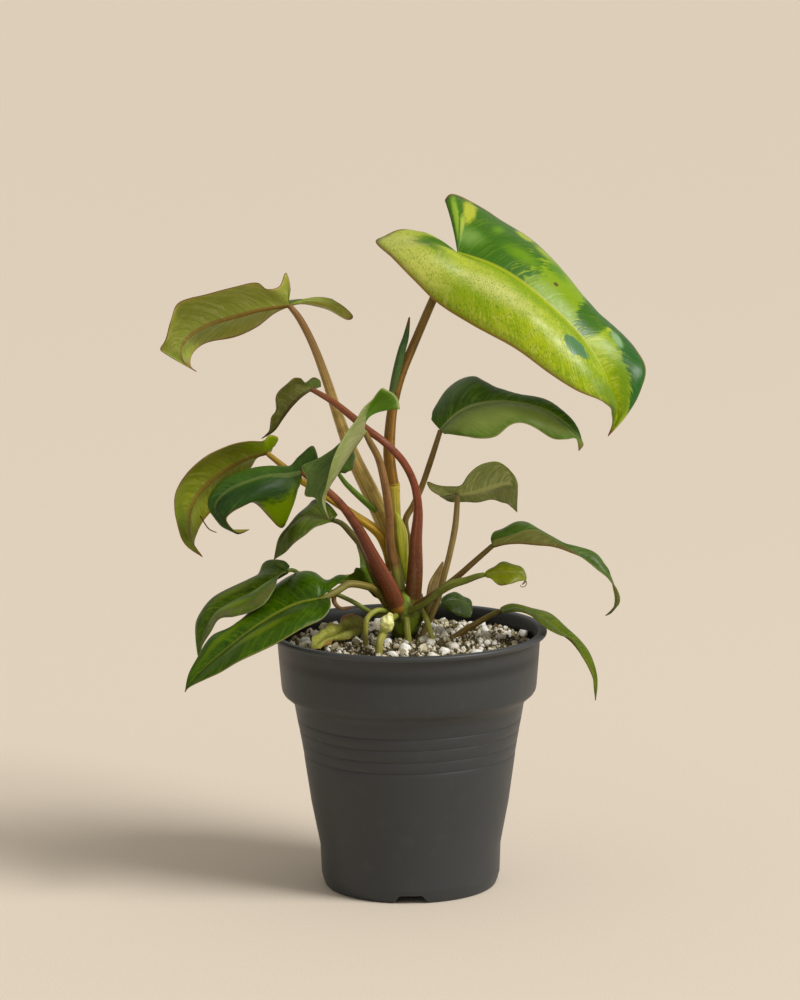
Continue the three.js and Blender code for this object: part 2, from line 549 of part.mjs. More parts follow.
function toGeometry(solid) {
  const mesh = solid.getMesh();
  const geometry = new THREE.BufferGeometry();
  geometry.setAttribute("position", new THREE.BufferAttribute(mesh.vertProperties, mesh.numProp));
  geometry.setIndex(new THREE.BufferAttribute(mesh.triVerts, 1));
  geometry.computeVertexNormals();
  return geometry;
}

function largestBody(solid) {
  return solid.decompose().reduce((a, b) => (b.volume() > a.volume() ? b : a));
}

// A solid less its neighbours, of which only the largest body is kept
function carve(solid, cutters) {
  const cut = cutters.reduce((rest, cutter) => rest.subtract(cutter), solid);
  return largestBody(cut);
}

// A run of round sections along a smooth path of [x, y, z, radius], with both ends closed
function runGeometry(path, grow = 0) {
  const curve = new THREE.CatmullRomCurve3(path.map((p) => new THREE.Vector3(...p)));
  const steps = 2 * (path.length - 1);
  const frames = curve.computeFrenetFrames(steps);
  const corners = [];
  for (let i = 0; i <= steps; i++) {
    const place = (i / steps) * (path.length - 1);
    const k = Math.min(Math.floor(place), path.length - 2);
    const radius = THREE.MathUtils.lerp(path[k][3], path[k + 1][3], place - k) + grow;
    const centre = curve.getPoint(i / steps);
    for (let j = 0; j < STALK_SIDES; j++) {
      const turn = (2 * Math.PI * j) / STALK_SIDES;
      const corner = centre.clone();
      corner.addScaledVector(frames.normals[i], radius * Math.cos(turn));
      corner.addScaledVector(frames.binormals[i], radius * Math.sin(turn));
      corners.push(corner);
    }
  }
  const faces = [];
  for (let i = 0; i < steps; i++) {
    for (let j = 0; j < STALK_SIDES; j++) {
      const a = i * STALK_SIDES + j;
      const b = i * STALK_SIDES + ((j + 1) % STALK_SIDES);
      faces.push(a, b, b + STALK_SIDES, a, b + STALK_SIDES, a + STALK_SIDES);
    }
  }
  for (let j = 1; j < STALK_SIDES - 1; j++) {
    const last = steps * STALK_SIDES;
    faces.push(0, j + 1, j, last, last + j, last + j + 1);
  }
  const geometry = new THREE.BufferGeometry().setFromPoints(corners);
  geometry.setIndex(faces);
  return geometry;
}

// The margin of one half between two stations: a smooth curve through place, and a straight root share
function marginAt(stations, place) {
  const last = stations.length - 1;
  const k = Math.min(Math.floor(place), last - 1);
  const at = (i) => stations[THREE.MathUtils.clamp(i, 0, last)];
  const t = place - k;
  const smooth = [1, 2, 3, 4].map((c) => {
    const [before, from, to, after] = [at(k - 1)[c], at(k)[c], at(k + 1)[c], at(k + 2)[c]];
    const leave = (to - before) / 2;
    const arrive = (after - from) / 2;
    const cubic = 2 * from - 2 * to + leave + arrive;
    const square = 3 * to - 3 * from - 2 * leave - arrive;
    return cubic * t ** 3 + square * t ** 2 + leave * t + from;
  });
  return { edge: new THREE.Vector3(...smooth), bulge: smooth[3] };
}

// One half of a blade as rows of points, each row from the midrib out to the margin. The rows round the
// lobe all bulge the way the first row beyond it does.
function halfRows(leaf, side, midribAt) {
  const tip = leaf.midrib.at(-1);
  const stations = [...leaf[side], [1, ...tip, 0]];
  const lobeStations = stations.filter((s) => s[0] === 0).length;
  const places = [];
  for (let i = 0; i < lobeStations; i++) places.push({ share: 0, place: i });
  for (let i = 1; i < BLADE_ROWS; i++) {
    const share = i / BLADE_ROWS;
    const k = stations.findIndex((s) => s[0] > share) - 1;
    places.push({ share, place: k + (share - stations[k][0]) / (stations[k + 1][0] - stations[k][0]) });
  }
  const margins = places.map(({ place }) => marginAt(stations, place));
  const upperSideAt = (i) => {
    const out = margins[i].edge.clone().sub(midribAt(places[i].share));
    const along = margins[Math.min(i + 1, margins.length - 1)].edge.clone().sub(margins[i - 1].edge);
    return (side === "left" ? along.cross(out) : out.cross(along)).normalize();
  };
  return places.map(({ share }, i) => {
    const root = midribAt(share);
    const { edge, bulge } = margins[i];
    const up = upperSideAt(Math.max(i, lobeStations));
    const row = [];
    for (let j = 0; j <= BLADE_COLUMNS; j++) {
      const t = j / BLADE_COLUMNS;
      const point = root.clone().lerp(edge, t);
      point.addScaledVector(up, 4 * bulge * t * (1 - t));
      row.push(point);
    }
    return row;
  });
}

// A blade as one thin closed shell of even thickness, both halves sharing the midrib
function bladeGeometry(leaf, grow = 0) {
  const curve = new THREE.CatmullRomCurve3(leaf.midrib.map((p) => new THREE.Vector3(...p)));
  const midribAt = (share) => curve.getPointAt(share);
  const points = [];
  const lookup = new Map();
  const indexOf = (p) => {
    const key = p.toArray().map((v) => v.toFixed(4)).join();
    if (!lookup.has(key)) lookup.set(key, points.push(p) - 1);
    return lookup.get(key);
  };
  const sheet = [];
  const edges = [];
  for (const side of ["left", "right"]) {
    const rows = halfRows(leaf, side, midribAt).map((row) => row.map(indexOf));
    const tipRow = rows[0].map(() => indexOf(midribAt(1)));
    rows.push(tipRow);
    const add = (a, b, c) => {
      if (a === b || b === c || a === c) return;
      sheet.push(side === "left" ? [a, b, c] : [a, c, b]);
    };
    for (let i = 0; i + 1 < rows.length; i++) {
      for (let j = 0; j < BLADE_COLUMNS; j++) {
        add(rows[i][j], rows[i + 1][j], rows[i + 1][j + 1]);
        add(rows[i][j], rows[i + 1][j + 1], rows[i][j + 1]);
      }
    }
    const rim = [...rows[0], ...rows.slice(1).map((row) => row[BLADE_COLUMNS])];
    for (let i = 0; i + 1 < rim.length; i++) {
      edges.push(side === "left" ? [rim[i + 1], rim[i]] : [rim[i], rim[i + 1]]);
    }
  }
  const normals = points.map(() => new THREE.Vector3());
  for (const [a, b, c] of sheet) {
    const ab = points[b].clone().sub(points[a]);
    const ac = points[c].clone().sub(points[a]);
    const normal = ab.cross(ac).normalize();
    for (const i of [a, b, c]) normals[i].add(normal);
  }
  const spread = points.map(() => new THREE.Vector3());
  for (const [a, b] of edges) {
    const along = points[b].clone().sub(points[a]);
    const outward = along.cross(normals[a]).normalize();
    for (const i of [a, b]) spread[i].add(outward);
  }
  points.forEach((p, i) => p.addScaledVector(spread[i].normalize(), grow));
  const half = BLADE_THICKNESS / 2 + grow;
  const count = points.length;
  const corners = [half, -half].flatMap((offset) =>
    points.map((p, i) => p.clone().addScaledVector(normals[i].normalize(), offset)),
  );
  const faces = sheet.flatMap(([a, b, c]) => [a, b, c, a + count, c + count, b + count]);
  for (const [a, b] of edges) faces.push(a, b + count, b, a, a + count, b + count);
  const geometry = new THREE.BufferGeometry().setFromPoints(corners);
  geometry.setIndex(faces);
  return geometry;
}

// The outside of the pot from the foot up, with the grooves pressed into the body wall
function potOutside() {
  const radiusAt = (z) =>
    THREE.MathUtils.mapLinear(z, 4.7, BODY_TOP_Z, BODY_FOOT_RADIUS, BODY_TOP_RADIUS);
  const line = [[FOOT_RADIUS, 0], [BODY_FOOT_RADIUS - 0.4, 1.6], [BODY_FOOT_RADIUS, 4.7]];
  for (const z of GROOVE_HEIGHTS) {
    line.push([radiusAt(z), z - 0.6], [radiusAt(z) - GROOVE_DEPTH, z], [radiusAt(z), z + 0.6]);
  }
  line.push([BODY_TOP_RADIUS, BODY_TOP_Z], [BODY_TOP_RADIUS + 0.6, BODY_TOP_Z + 2.4]);
  line.push([BAND_FOOT_RADIUS - 0.8, BAND_FOOT_Z - 1.6], [BAND_FOOT_RADIUS, BAND_FOOT_Z]);
  line.push([BAND_TOP_RADIUS, POT_HEIGHT - 2.6], [RIM_RADIUS - 0.5, POT_HEIGHT - 2.4]);
  line.push([RIM_RADIUS, POT_HEIGHT - 1.2], [RIM_RADIUS - 0.6, POT_HEIGHT]);
  return line;
}

// The inside of the pot from the rim down, one wall thickness in
function potInside(clearance) {
  const inward = WALL + clearance;
  return [
    [BAND_TOP_RADIUS - inward + 0.6, POT_HEIGHT],
    [BAND_TOP_RADIUS - inward, POT_HEIGHT - 1.2],
    [BAND_FOOT_RADIUS - inward, BAND_FOOT_Z + 1],
    [BODY_TOP_RADIUS - inward, BODY_TOP_Z + 2],
    [BODY_FOOT_RADIUS - inward, FLOOR_Z + FLOOR_THICKNESS + 2],
    [FOOT_RADIUS - inward, FLOOR_Z + FLOOR_THICKNESS + clearance],
  ];
}

function lathe(profile, sides = POT_SIDES) {
  const points = profile.map(([r, z]) => new THREE.Vector2(r, z));
  const geometry = new THREE.LatheGeometry(points, sides);
  geometry.rotateX(Math.PI / 2);
  return toSolid(geometry);
}

function potSolid() {
  const recess = FOOT_RADIUS - FOOT_RING;
  const profile = [
    [0, FLOOR_Z], [recess, FLOOR_Z], [recess, 0],
    ...potOutside(), ...potInside(0), [0, FLOOR_Z + FLOOR_THICKNESS],
  ];
  const boss = [[0, 0], [FOOT_BOSS_RADIUS, 0], [FOOT_BOSS_RADIUS, FLOOR_Z + 1], [0, FLOOR_Z + 1]];
  let pot = lathe(profile).add(lathe(boss));
  for (let i = 0; i < NOTCH_COUNT; i++) {
    const notch = new THREE.BoxGeometry(NOTCH_WIDTH, 20, 2 * NOTCH_HEIGHT);
    notch.translate(0, -FOOT_RADIUS, 0);
    notch.rotateZ((i * 2 * Math.PI) / NOTCH_COUNT);
    pot = pot.subtract(toSolid(notch));
  }
  for (let i = 0; i < DRAIN_COUNT; i++) {
    const hole = new THREE.CylinderGeometry(DRAIN_RADIUS, DRAIN_RADIUS, 20, 12);
    hole.rotateX(Math.PI / 2);
    hole.translate(DRAIN_CIRCLE, 0, 0);
    hole.rotateZ(((i + 0.5) * 2 * Math.PI) / DRAIN_COUNT);
    pot = pot.subtract(toSolid(hole));
  }
  return pot;
}

function soilSolid(lift) {
  const top = [];
  for (const share of [1, 0.85, 0.6, 0.35, 0]) {
    const radius = share * (BAND_TOP_RADIUS - WALL - GAP - 1);
    top.push([radius, SOIL_EDGE_Z + (SOIL_TOP_Z - SOIL_EDGE_Z) * Math.cos((share * Math.PI) / 2) + lift]);
  }
  const sides = potInside(GAP).slice(2).reverse();
  return lathe([[0, FLOOR_Z + FLOOR_THICKNESS + GAP], ...sides, ...top]);
}

const plant = new THREE.Group();

function addNode(name, solid, colour, roughness, metalness = 0) {
  const material = new THREE.MeshStandardMaterial({ color: colour, roughness, metalness });
  const mesh = new THREE.Mesh(toGeometry(solid), material);
  mesh.name = name;
  plant.add(mesh);
}

addNode("pot", potSolid(), COLOURS.pot, 0.55);
addNode("soil", soilSolid(0), COLOURS.soil, 0.95);

const soilKeepOut = soilSolid(GAP);
const stalks = LEAVES.filter((leaf) => leaf.stalk).map((leaf) => ({
  name: "stalk_" + leaf.place,
  colour: leaf.stalkColour,
  path: leaf.stalk,
  blades: [toSolid(bladeGeometry(leaf, GAP)), toSolid(bladeGeometry(leaf))],
}));
const thickRoot = RUNS.find((run) => run.name === "root_thick");

for (const leaf of LEAVES) {
  const name = leaf.place === "torn_sheath" ? leaf.place : "blade_" + leaf.place;
  const blade = carve(toSolid(bladeGeometry(leaf)), [soilKeepOut]);
  addNode(name, blade, leaf.colour, 0.45);
}
for (const run of stalks) {
  const cutters = [...run.blades, soilKeepOut];
  addNode(run.name, carve(toSolid(runGeometry(run.path)), cutters), run.colour, 0.5);
}
for (const run of RUNS) {
  const cutters = [soilKeepOut];
  if (run.name === "root_bud") cutters.push(toSolid(runGeometry(thickRoot.path, GAP)));
  addNode(run.name, carve(toSolid(runGeometry(run.path)), cutters), run.colour, 0.5);
}

// The crown is a squat green stem, hollowed where stalks and roots enter it
const crownProfile = [
  [0, CROWN_SOLE_Z], [4, CROWN_SOLE_Z], [7, 117], [9, 121], [8.6, 126], [6, 130], [0, 131.5],
];
const crownBlank = lathe(crownProfile, CROWN_SIDES).translate(-2, -3, 0);
const entering = [...stalks, ...RUNS].map((run) => toSolid(runGeometry(run.path, GAP)));
const tornSheath = LEAVES.find((leaf) => leaf.place === "torn_sheath");
entering.push(toSolid(bladeGeometry(tornSheath, GAP)));
addNode("crown", carve(crownBlank, entering), COLOURS.crown, 0.5);

export default plant;
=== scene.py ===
"""A philodendron with variegated, olive and dark green leaves, in coarse mix in a dark nursery pot."""
import json
import math

import bmesh
import bpy
import numpy as np
from mathutils import Matrix, Vector, noise

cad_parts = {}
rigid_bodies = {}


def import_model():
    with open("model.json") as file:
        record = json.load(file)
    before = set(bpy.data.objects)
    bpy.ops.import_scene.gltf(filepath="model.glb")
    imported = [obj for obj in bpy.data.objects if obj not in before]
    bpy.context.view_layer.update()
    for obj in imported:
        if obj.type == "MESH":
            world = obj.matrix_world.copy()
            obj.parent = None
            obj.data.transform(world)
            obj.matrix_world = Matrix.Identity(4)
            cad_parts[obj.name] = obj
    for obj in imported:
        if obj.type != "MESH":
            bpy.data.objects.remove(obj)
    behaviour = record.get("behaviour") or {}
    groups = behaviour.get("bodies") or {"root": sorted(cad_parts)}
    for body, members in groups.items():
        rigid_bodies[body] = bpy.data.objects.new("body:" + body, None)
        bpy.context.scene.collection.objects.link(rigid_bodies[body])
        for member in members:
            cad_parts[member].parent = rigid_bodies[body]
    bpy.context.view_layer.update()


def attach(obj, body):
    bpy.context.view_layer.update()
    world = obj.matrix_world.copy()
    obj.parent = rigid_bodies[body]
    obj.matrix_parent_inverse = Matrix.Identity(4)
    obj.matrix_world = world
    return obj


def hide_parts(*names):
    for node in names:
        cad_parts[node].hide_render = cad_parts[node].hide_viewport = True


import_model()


# Nursery pot. One injection-moulded shell of dark grey polypropylene, with a rolled rim, a deep rim band, a
# shoulder, four pressed grooves, a notched foot and drain holes. It comes out of the mould in one piece.
MM = 0.001
POT_TURNS = 224
POT_OUTSIDE = [
    (33.2, 0.3), (33.6, 0), (36.4, 0), (37.1, 0.3), (37.6, 1), (38.3, 3), (38.6, 4.6), (38.9, 5.3),
    (38.95, 6), (39.4, 18), (43, 36.8), (45.8, 56.5), (46, 58.3), (45.75, 58.9), (46.15, 59.5), (46.8, 63.4),
    (46.6, 64), (47, 64.6), (47.75, 68.8), (47.55, 69.4), (47.95, 70), (48.75, 73.9), (48.5, 74.5),
    (48.95, 75.1), (49.6, 79), (49.8, 80.2), (50.2, 81.4), (51.2, 82.8), (52.9, 84.2), (54.3, 85.4),
    (55.1, 86.8), (55.4, 88.4), (56.2, 98), (57, 108.6), (57.3, 110), (58.3, 110.3), (59.4, 110.4),
    (59.85, 110.9), (60, 111.6), (59.75, 112.2), (59.2, 112.6),
]
POT_INSIDE = [
    (57.4, 112.6), (56.6, 112.3), (56, 111.5), (55.6, 107), (54, 88), (53.4, 86.6), (51.6, 85), (49.6, 83.4),
    (48.6, 81.6), (48.2, 79.6), (44.5, 56), (41.6, 36), (38, 18), (37.4, 7), (36.6, 5.2), (35, 4.6), (0, 4.6),
]
POT_UNDERSIDE = [(0, 0), (7.6, 0), (8, 0.4), (8, 3), (32.6, 3), (33, 2.6)]
NOTCHES, NOTCH_ENDS = 4, (-42, -31)
NOTCH = [(-8, -1), (8, -1), (6.9, 1), (5, 3.4), (4.4, 3.6), (-4.4, 3.6), (-5, 3.4), (-6.9, 1)]
DRAIN_HOLES, DRAIN_RING, DRAIN_RADIUS, DRAIN_SIDES = 6, 24, 4, 32
DRAIN_MIDDLE, DRAIN_DEPTH = 4, 6
SHARP_EDGE = math.radians(40)


def screen_colour(red, green, blue):
    """A colour given as it looks on a screen, from 0 to 255, as the shader wants it."""
    return (*[((c / 255 + 0.055) / 1.055) ** 2.4 if c > 10 else c / 3295 for c in (red, green, blue)], 1)


def add_node(tree, kind, inputs, **settings):
    """A node with its settings, and its inputs given as fixed values, sockets or fields."""
    made = tree.nodes.new(kind)
    for key, value in settings.items():
        setattr(made, key, value)
    for key, value in inputs.items():
        value = value.socket if isinstance(value, Field) else value
        if isinstance(value, bpy.types.NodeSocket):
            tree.links.new(value, made.inputs[key])
        else:
            made.inputs[key].default_value = value
    return made


class Field:
    """A number, colour or place that changes over a surface. Sums on it add the nodes that they need."""

    def __init__(self, socket):
        self.socket = socket
        self.tree = socket.id_data

    def calculate(self, operation, other=0.0):
        made = add_node(self.tree, "ShaderNodeMath", {0: self, 1: other}, operation=operation)
        return Field(made.outputs[0])

    def __add__(self, other):
        return self.calculate("ADD", other)

    def __sub__(self, other):
        return self.calculate("SUBTRACT", other)

    def __mul__(self, other):
        return self.calculate("MULTIPLY", other)

    def __truediv__(self, other):
        return self.calculate("DIVIDE", other)

    def __pow__(self, other):
        return self.calculate("POWER", other)

    def __abs__(self):
        return self.calculate("ABSOLUTE")

    def parts(self):
        return [Field(part) for part in add_node(self.tree, "ShaderNodeSeparateXYZ", {0: self}).outputs]

    def length(self):
        return Field(add_node(self.tree, "ShaderNodeVectorMath", {0: self}, operation="LENGTH").outputs[1])


def spot(x, y, z=0.0):
    """A place from two or three fields."""
    return Field(add_node(x.tree, "ShaderNodeCombineXYZ", {0: x, 1: y, 2: z}).outputs[0])


def between(value, low, high, out_low=0.0, out_high=1.0):
    """The value carried smoothly from the low to the high end, and held there beyond them."""
    ends = {0: value, 1: low, 2: high, 3: out_low, 4: out_high}
    return Field(add_node(value.tree, "ShaderNodeMapRange", ends, interpolation_type="SMOOTHSTEP").outputs[0])


def blend(share, first, second):
    """One colour laid over another by a share. A plain colour is three screen values."""
    colours = [c if isinstance(c, Field) else screen_colour(*c) for c in (first, second)]
    made = add_node(share.tree, "ShaderNodeMix", {0: share, 6: colours[0], 7: colours[1]}, data_type="RGBA")
    return Field(made.outputs[2])


def cloud(place, scale, detail=3.0, rough=0.55):
    """Soft random patches from 0 to 1."""
    settings = {"Vector": place, "Scale": scale, "Detail": detail, "Roughness": rough}
    return Field(add_node(place.tree, "ShaderNodeTexNoise", settings).outputs["Fac"])


def new_skin(name):
    """A new material and the piece's own coordinates."""
    made = bpy.data.materials.new(name)
    made.use_nodes = True
    return made, Field(add_node(made.node_tree, "ShaderNodeTexCoord", {}).outputs["Object"])


def finish_skin(made, colour, rough, height=None, depth_mm=0.0, strength=1.0, shine=0.5, soft=0.0,
                reach_mm=(1, 1, 1)):
    """The colour, roughness, fine relief and shine of a material, and how much light soaks into it and how
    far."""
    tree = made.node_tree
    shader = tree.nodes["Principled BSDF"]
    tree.links.new(colour.socket, shader.inputs["Base Color"])
    if isinstance(rough, Field):
        tree.links.new(rough.socket, shader.inputs["Roughness"])
    else:
        shader.inputs["Roughness"].default_value = rough
    if height:
        relief = {"Strength": strength, "Distance": depth_mm * MM, "Height": height}
        tree.links.new(add_node(tree, "ShaderNodeBump", relief).outputs[0], shader.inputs["Normal"])
    shader.inputs["Specular IOR Level"].default_value = shine
    shader.inputs["Subsurface Weight"].default_value = soft
    shader.inputs["Subsurface Radius"].default_value = [reach * MM for reach in reach_mm]
    return made


def loose_object(name, data):
    made = bpy.data.objects.new(name, data)
    bpy.context.scene.collection.objects.link(made)
    return made


def new_piece(name, mesh, nodes=()):
    """A finished piece in the scene. It rides on the root and stands for the plain solids it replaces."""
    made = loose_object(name, mesh)
    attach(made, "root")
    if nodes:
        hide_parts(*nodes)


def baked(source):
    """The plain mesh that an object's modifiers give."""
    bpy.context.view_layer.update()
    seen = source.evaluated_get(bpy.context.evaluated_depsgraph_get())
    mesh = bpy.data.meshes.new_from_object(seen)
    bpy.data.objects.remove(source)
    return mesh


def shaped(name, shape):
    """The mesh of a closed shape, with its faces turned outwards."""
    bmesh.ops.recalc_face_normals(shape, faces=shape.faces)
    mesh = bpy.data.meshes.new(name)
    shape.to_mesh(mesh)
    shape.free()
    return mesh


def ringed_mesh(name, levels, turns):
    """A skin through rings round the upright axis, given as (radius, height). A height may be a function of x
    and y, and a ring of no radius is a pole."""
    shape = bmesh.new()
    rings = []
    for radius, height in levels:
        ring = []
        for i in range(turns if radius > 0 else 1):
            x = radius * math.cos(2 * math.pi * i / turns)
            y = radius * math.sin(2 * math.pi * i / turns)
            z = height(x, y) if callable(height) else height
            ring.append(shape.verts.new((x * MM, y * MM, z * MM)))
        rings.append(ring)
    for low, high in zip(rings, rings[1:]):
        for i in range(turns):
            k = i + 1
            corners = [low[i % len(low)], high[i % len(high)], high[k % len(high)], low[k % len(low)]]
            shape.faces.new(list(dict.fromkeys(corners)))
    return shaped(name, shape)


def cut_tools():
    """Four bevelled notches at the foot and six drain holes in the floor."""
    shape = bmesh.new()
    for i in range(NOTCHES):
        turn = Matrix.Rotation(i * 2 * math.pi / NOTCHES, 4, "Z")
        near, far = ([shape.verts.new(turn @ Vector((x, y, z)) * MM) for x, z in NOTCH] for y in NOTCH_ENDS)
        shape.faces.new(near)
        shape.faces.new(far[::-1])
        for j in range(len(NOTCH)):
            k = (j + 1) % len(NOTCH)
            shape.faces.new([near[j], near[k], far[k], far[j]])
    for i in range(DRAIN_HOLES):
        angle = (i + 0.5) * 2 * math.pi / DRAIN_HOLES
        place = Vector((DRAIN_RING * math.cos(angle), DRAIN_RING * math.sin(angle), DRAIN_MIDDLE)) * MM
        bmesh.ops.create_cone(shape, cap_ends=True, segments=DRAIN_SIDES, radius1=DRAIN_RADIUS * MM,
                              radius2=DRAIN_RADIUS * MM, depth=DRAIN_DEPTH * MM,
                              matrix=Matrix.Translation(place))
    return loose_object("cut_tools", shaped("cut_tools", shape))


def pot_plastic():
    made, place = new_skin("moulded_grey_plastic")
    x, y, height = place.parts()
    broad = cloud(place, 22, 3)
    colour = blend(broad, (50, 53, 55), (58, 61, 63))
    dust = between(cloud(place, 160, 5), 0.56, 0.74, 0.0, 0.08)
    colour = blend(dust, colour, (96, 95, 90))
    # Painted shade: the inner wall above the mix is darkened almost to black, where shade falls inside the
    # pot.
    inner = between(height, 0.098, 0.104) * between(spot(x, y).length(), 0.0563, 0.0568, 1.0, 0.0)
    colour = blend(inner * 0.95, colour, (14, 16, 15))
    colour = blend(between(height, 0.1085, 0.1122, 0.0, 0.25), colour, (84, 87, 88))
    grain = cloud(place, 1400, 2) + broad * 0.8
    return finish_skin(made, colour, between(broad, 0.3, 0.7, 0.42, 0.5), grain, 0.05, 0.35, shine=0.35)


pot = loose_object("pot_blank", ringed_mesh("pot", POT_UNDERSIDE + POT_OUTSIDE + POT_INSIDE, POT_TURNS))
tools = cut_tools()
cut = pot.modifiers.new("cut", "BOOLEAN")
cut.operation, cut.object, cut.solver = "DIFFERENCE", tools, "EXACT"
pot_mesh = baked(pot)
bpy.data.objects.remove(tools)
pot_mesh.materials.append(pot_plastic())
pot_mesh.shade_smooth()
pot_mesh.set_sharp_from_angle(angle=SHARP_EDGE)
new_piece("pot_shell", pot_mesh, ["pot"])


# Growing mix. Bark, pumice and perlite pressed round the stem, filling the pot to a few millimetres under
# the rim, with a rough upper face that rises a little towards the stem.
BED_RADIUS, BED_EDGE, BED_RISE = 54.3, 105.7, 3.6
BED_RINGS, BED_TURNS = 36, 120
BED_SIDES = [
    (BED_RADIUS, 104), (53, 89), (47.5, 80), (43.6, 56), (40.7, 36), (37.2, 18), (36, 8), (34.5, 5.2),
    (0, 5.2),
]


def lumps(x, y, z, size, seed):
    """Smooth random height from -1 to 1, with lumps of about that size in millimetres."""
    return noise.noise(Vector((x / size + seed, y / size - seed, z / size + 0.5 * seed)))


def bed_height(x, y):
    share = math.hypot(x, y) / BED_RADIUS
    rise = BED_RISE * math.cos(min(share, 1) * math.pi / 2)
    return BED_EDGE + rise + 0.7 * lumps(x, y, 0, 7, 3) + 0.5 * lumps(x, y, 0, 2.6, 9)


def mix_earth():
    made, place = new_skin("damp_bark_dust")
    fine = cloud(place, 900, 6, 0.7)
    colour = blend(between(fine, 0.35, 0.65), (30, 28, 14), (78, 70, 40))
    colour = blend(between(cloud(place, 130, 4), 0.5, 0.75), colour, (112, 104, 72))
    return finish_skin(made, colour, 0.95, fine, 0.6)


bed_top = [(BED_RADIUS * step / BED_RINGS, bed_height) for step in range(BED_RINGS + 1)]
bed = ringed_mesh("mix_bed", bed_top + BED_SIDES, BED_TURNS)
bed.shade_smooth()
bed.materials.append(mix_earth())
new_piece("mix_bed", bed, ["soil"])


# Grains on the mix. White perlite beads, broken cream pumice and flakes, tan grit and dark bark chips,
# poured in loose and lying where they fell between the stem and the wall.
GRAIN_SHAPES = 5
GRAIN_LIFT = 0.3
GRAIN_RINGS, GRAIN_TURNS = range(5, 54, 3), 60


def grain_shapes(name, corners, squash, seed):
    """A few small closed stones, each the hull of some points on a squashed ball."""
    shapes = bpy.data.collections.new(name)
    random = np.random.default_rng(seed)
    for i in range(GRAIN_SHAPES):
        shape = bmesh.new()
        for _ in range(corners):
            corner = random.normal(size=3)
            corner = corner / np.linalg.norm(corner) * random.uniform(0.8, 1.05) * np.array(squash)
            shape.verts.new(corner * 0.5)
        hull = bmesh.ops.convex_hull(shape, input=shape.verts)
        loose = {e for e in hull["geom_interior"] + hull["geom_unused"] if isinstance(e, bmesh.types.BMVert)}
        bmesh.ops.delete(shape, geom=list(loose), context="VERTS")
        shapes.objects.link(bpy.data.objects.new(f"{name}_{i}", shaped(f"{name}_{i}", shape)))
    return shapes


def new_tree(name, inputs):
    """An empty tree from mesh to mesh with named inputs, given as (name, kind), and their sockets by name."""
    tree = bpy.data.node_groups.new(name, "GeometryNodeTree")
    for label, kind in [("Geometry", "Geometry"), *inputs]:
        tree.interface.new_socket(label, in_out="INPUT", socket_type="NodeSocket" + kind)
    tree.interface.new_socket("Geometry", in_out="OUTPUT", socket_type="NodeSocketGeometry")
    return tree, tree.nodes.new("NodeGroupInput").outputs


def scatter_tree():
    """Stones scattered over a face, each turned, sized and tinted at random, then made one mesh."""
    tree, given = new_tree("grain_scatter", [
        ("Density", "Float"), ("Smallest", "Float"), ("Largest", "Float"), ("Smooth", "Bool"),
        ("Seed", "Int"), ("Shapes", "Collection"), ("Skin", "Material")])
    points = add_node(tree, "GeometryNodeDistributePointsOnFaces",
                      {"Mesh": given["Geometry"], "Density": given["Density"], "Seed": given["Seed"]})
    stones = add_node(tree, "GeometryNodeCollectionInfo",
                      {"Collection": given["Shapes"], "Separate Children": True, "Reset Children": True})
    turn = add_node(tree, "FunctionNodeRandomValue",
                    {0: (0, 0, 0), 1: (6.28, 6.28, 6.28), "Seed": given["Seed"]}, data_type="FLOAT_VECTOR")
    pick = add_node(tree, "FunctionNodeRandomValue", {2: 0.0, 3: 1.0, "Seed": 77}, data_type="FLOAT")
    skewed = add_node(tree, "ShaderNodeMath", {0: pick.outputs[1], 1: 2.2}, operation="POWER")
    size = add_node(tree, "ShaderNodeMapRange",
                    {0: skewed.outputs[0], 1: 0.0, 2: 1.0, 3: given["Smallest"], 4: given["Largest"]})
    placed = add_node(tree, "GeometryNodeInstanceOnPoints",
                      {"Points": points.outputs["Points"], "Instance": stones.outputs[0],
                       "Pick Instance": True, "Rotation": turn.outputs[0], "Scale": size.outputs[0]})
    tint = add_node(tree, "FunctionNodeRandomValue", {2: 0.0, 3: 1.0, "Seed": 31}, data_type="FLOAT")
    kept = add_node(tree, "GeometryNodeStoreNamedAttribute",
                    {"Geometry": placed.outputs[0], "Name": "tint", "Value": tint.outputs[1]},
                    data_type="FLOAT", domain="INSTANCE")
    real = add_node(tree, "GeometryNodeRealizeInstances", {0: kept.outputs[0]})
    smooth = add_node(tree, "GeometryNodeSetShadeSmooth",
                      {0: real.outputs[0], "Shade Smooth": given["Smooth"]})
    skin = add_node(tree, "GeometryNodeSetMaterial", {0: smooth.outputs[0], "Material": given["Skin"]})
    add_node(tree, "NodeGroupOutput", {0: skin.outputs[0]})
    return tree


def grown(source, tree, inputs):
    """The plain mesh that a node tree makes of an object, with the inputs set by their identifiers."""
    modifier = source.modifiers.new(tree.name, "NODES")
    modifier.node_group = tree
    for item in tree.interface.items_tree:
        if item.in_out == "INPUT" and item.name in inputs:
            modifier[item.identifier] = inputs[item.name]
    return baked(source)


def stored(place, name, output="Fac"):
    """A value that the mesh carries under that name."""
    return Field(add_node(place.tree, "ShaderNodeAttribute", {}, attribute_name=name).outputs[output])


def grain_skin(name, light, dark, speck, share):
    made, place = new_skin(name)
    fine = cloud(place, 1500, 5, 0.7)
    colour = blend(between(stored(place, "tint"), 0.15, 0.95), light, dark)
    colour = blend(between(fine, 0.5, 0.66, 0.0, share), colour, speck)
    return finish_skin(made, colour, 0.88, fine, 0.5)


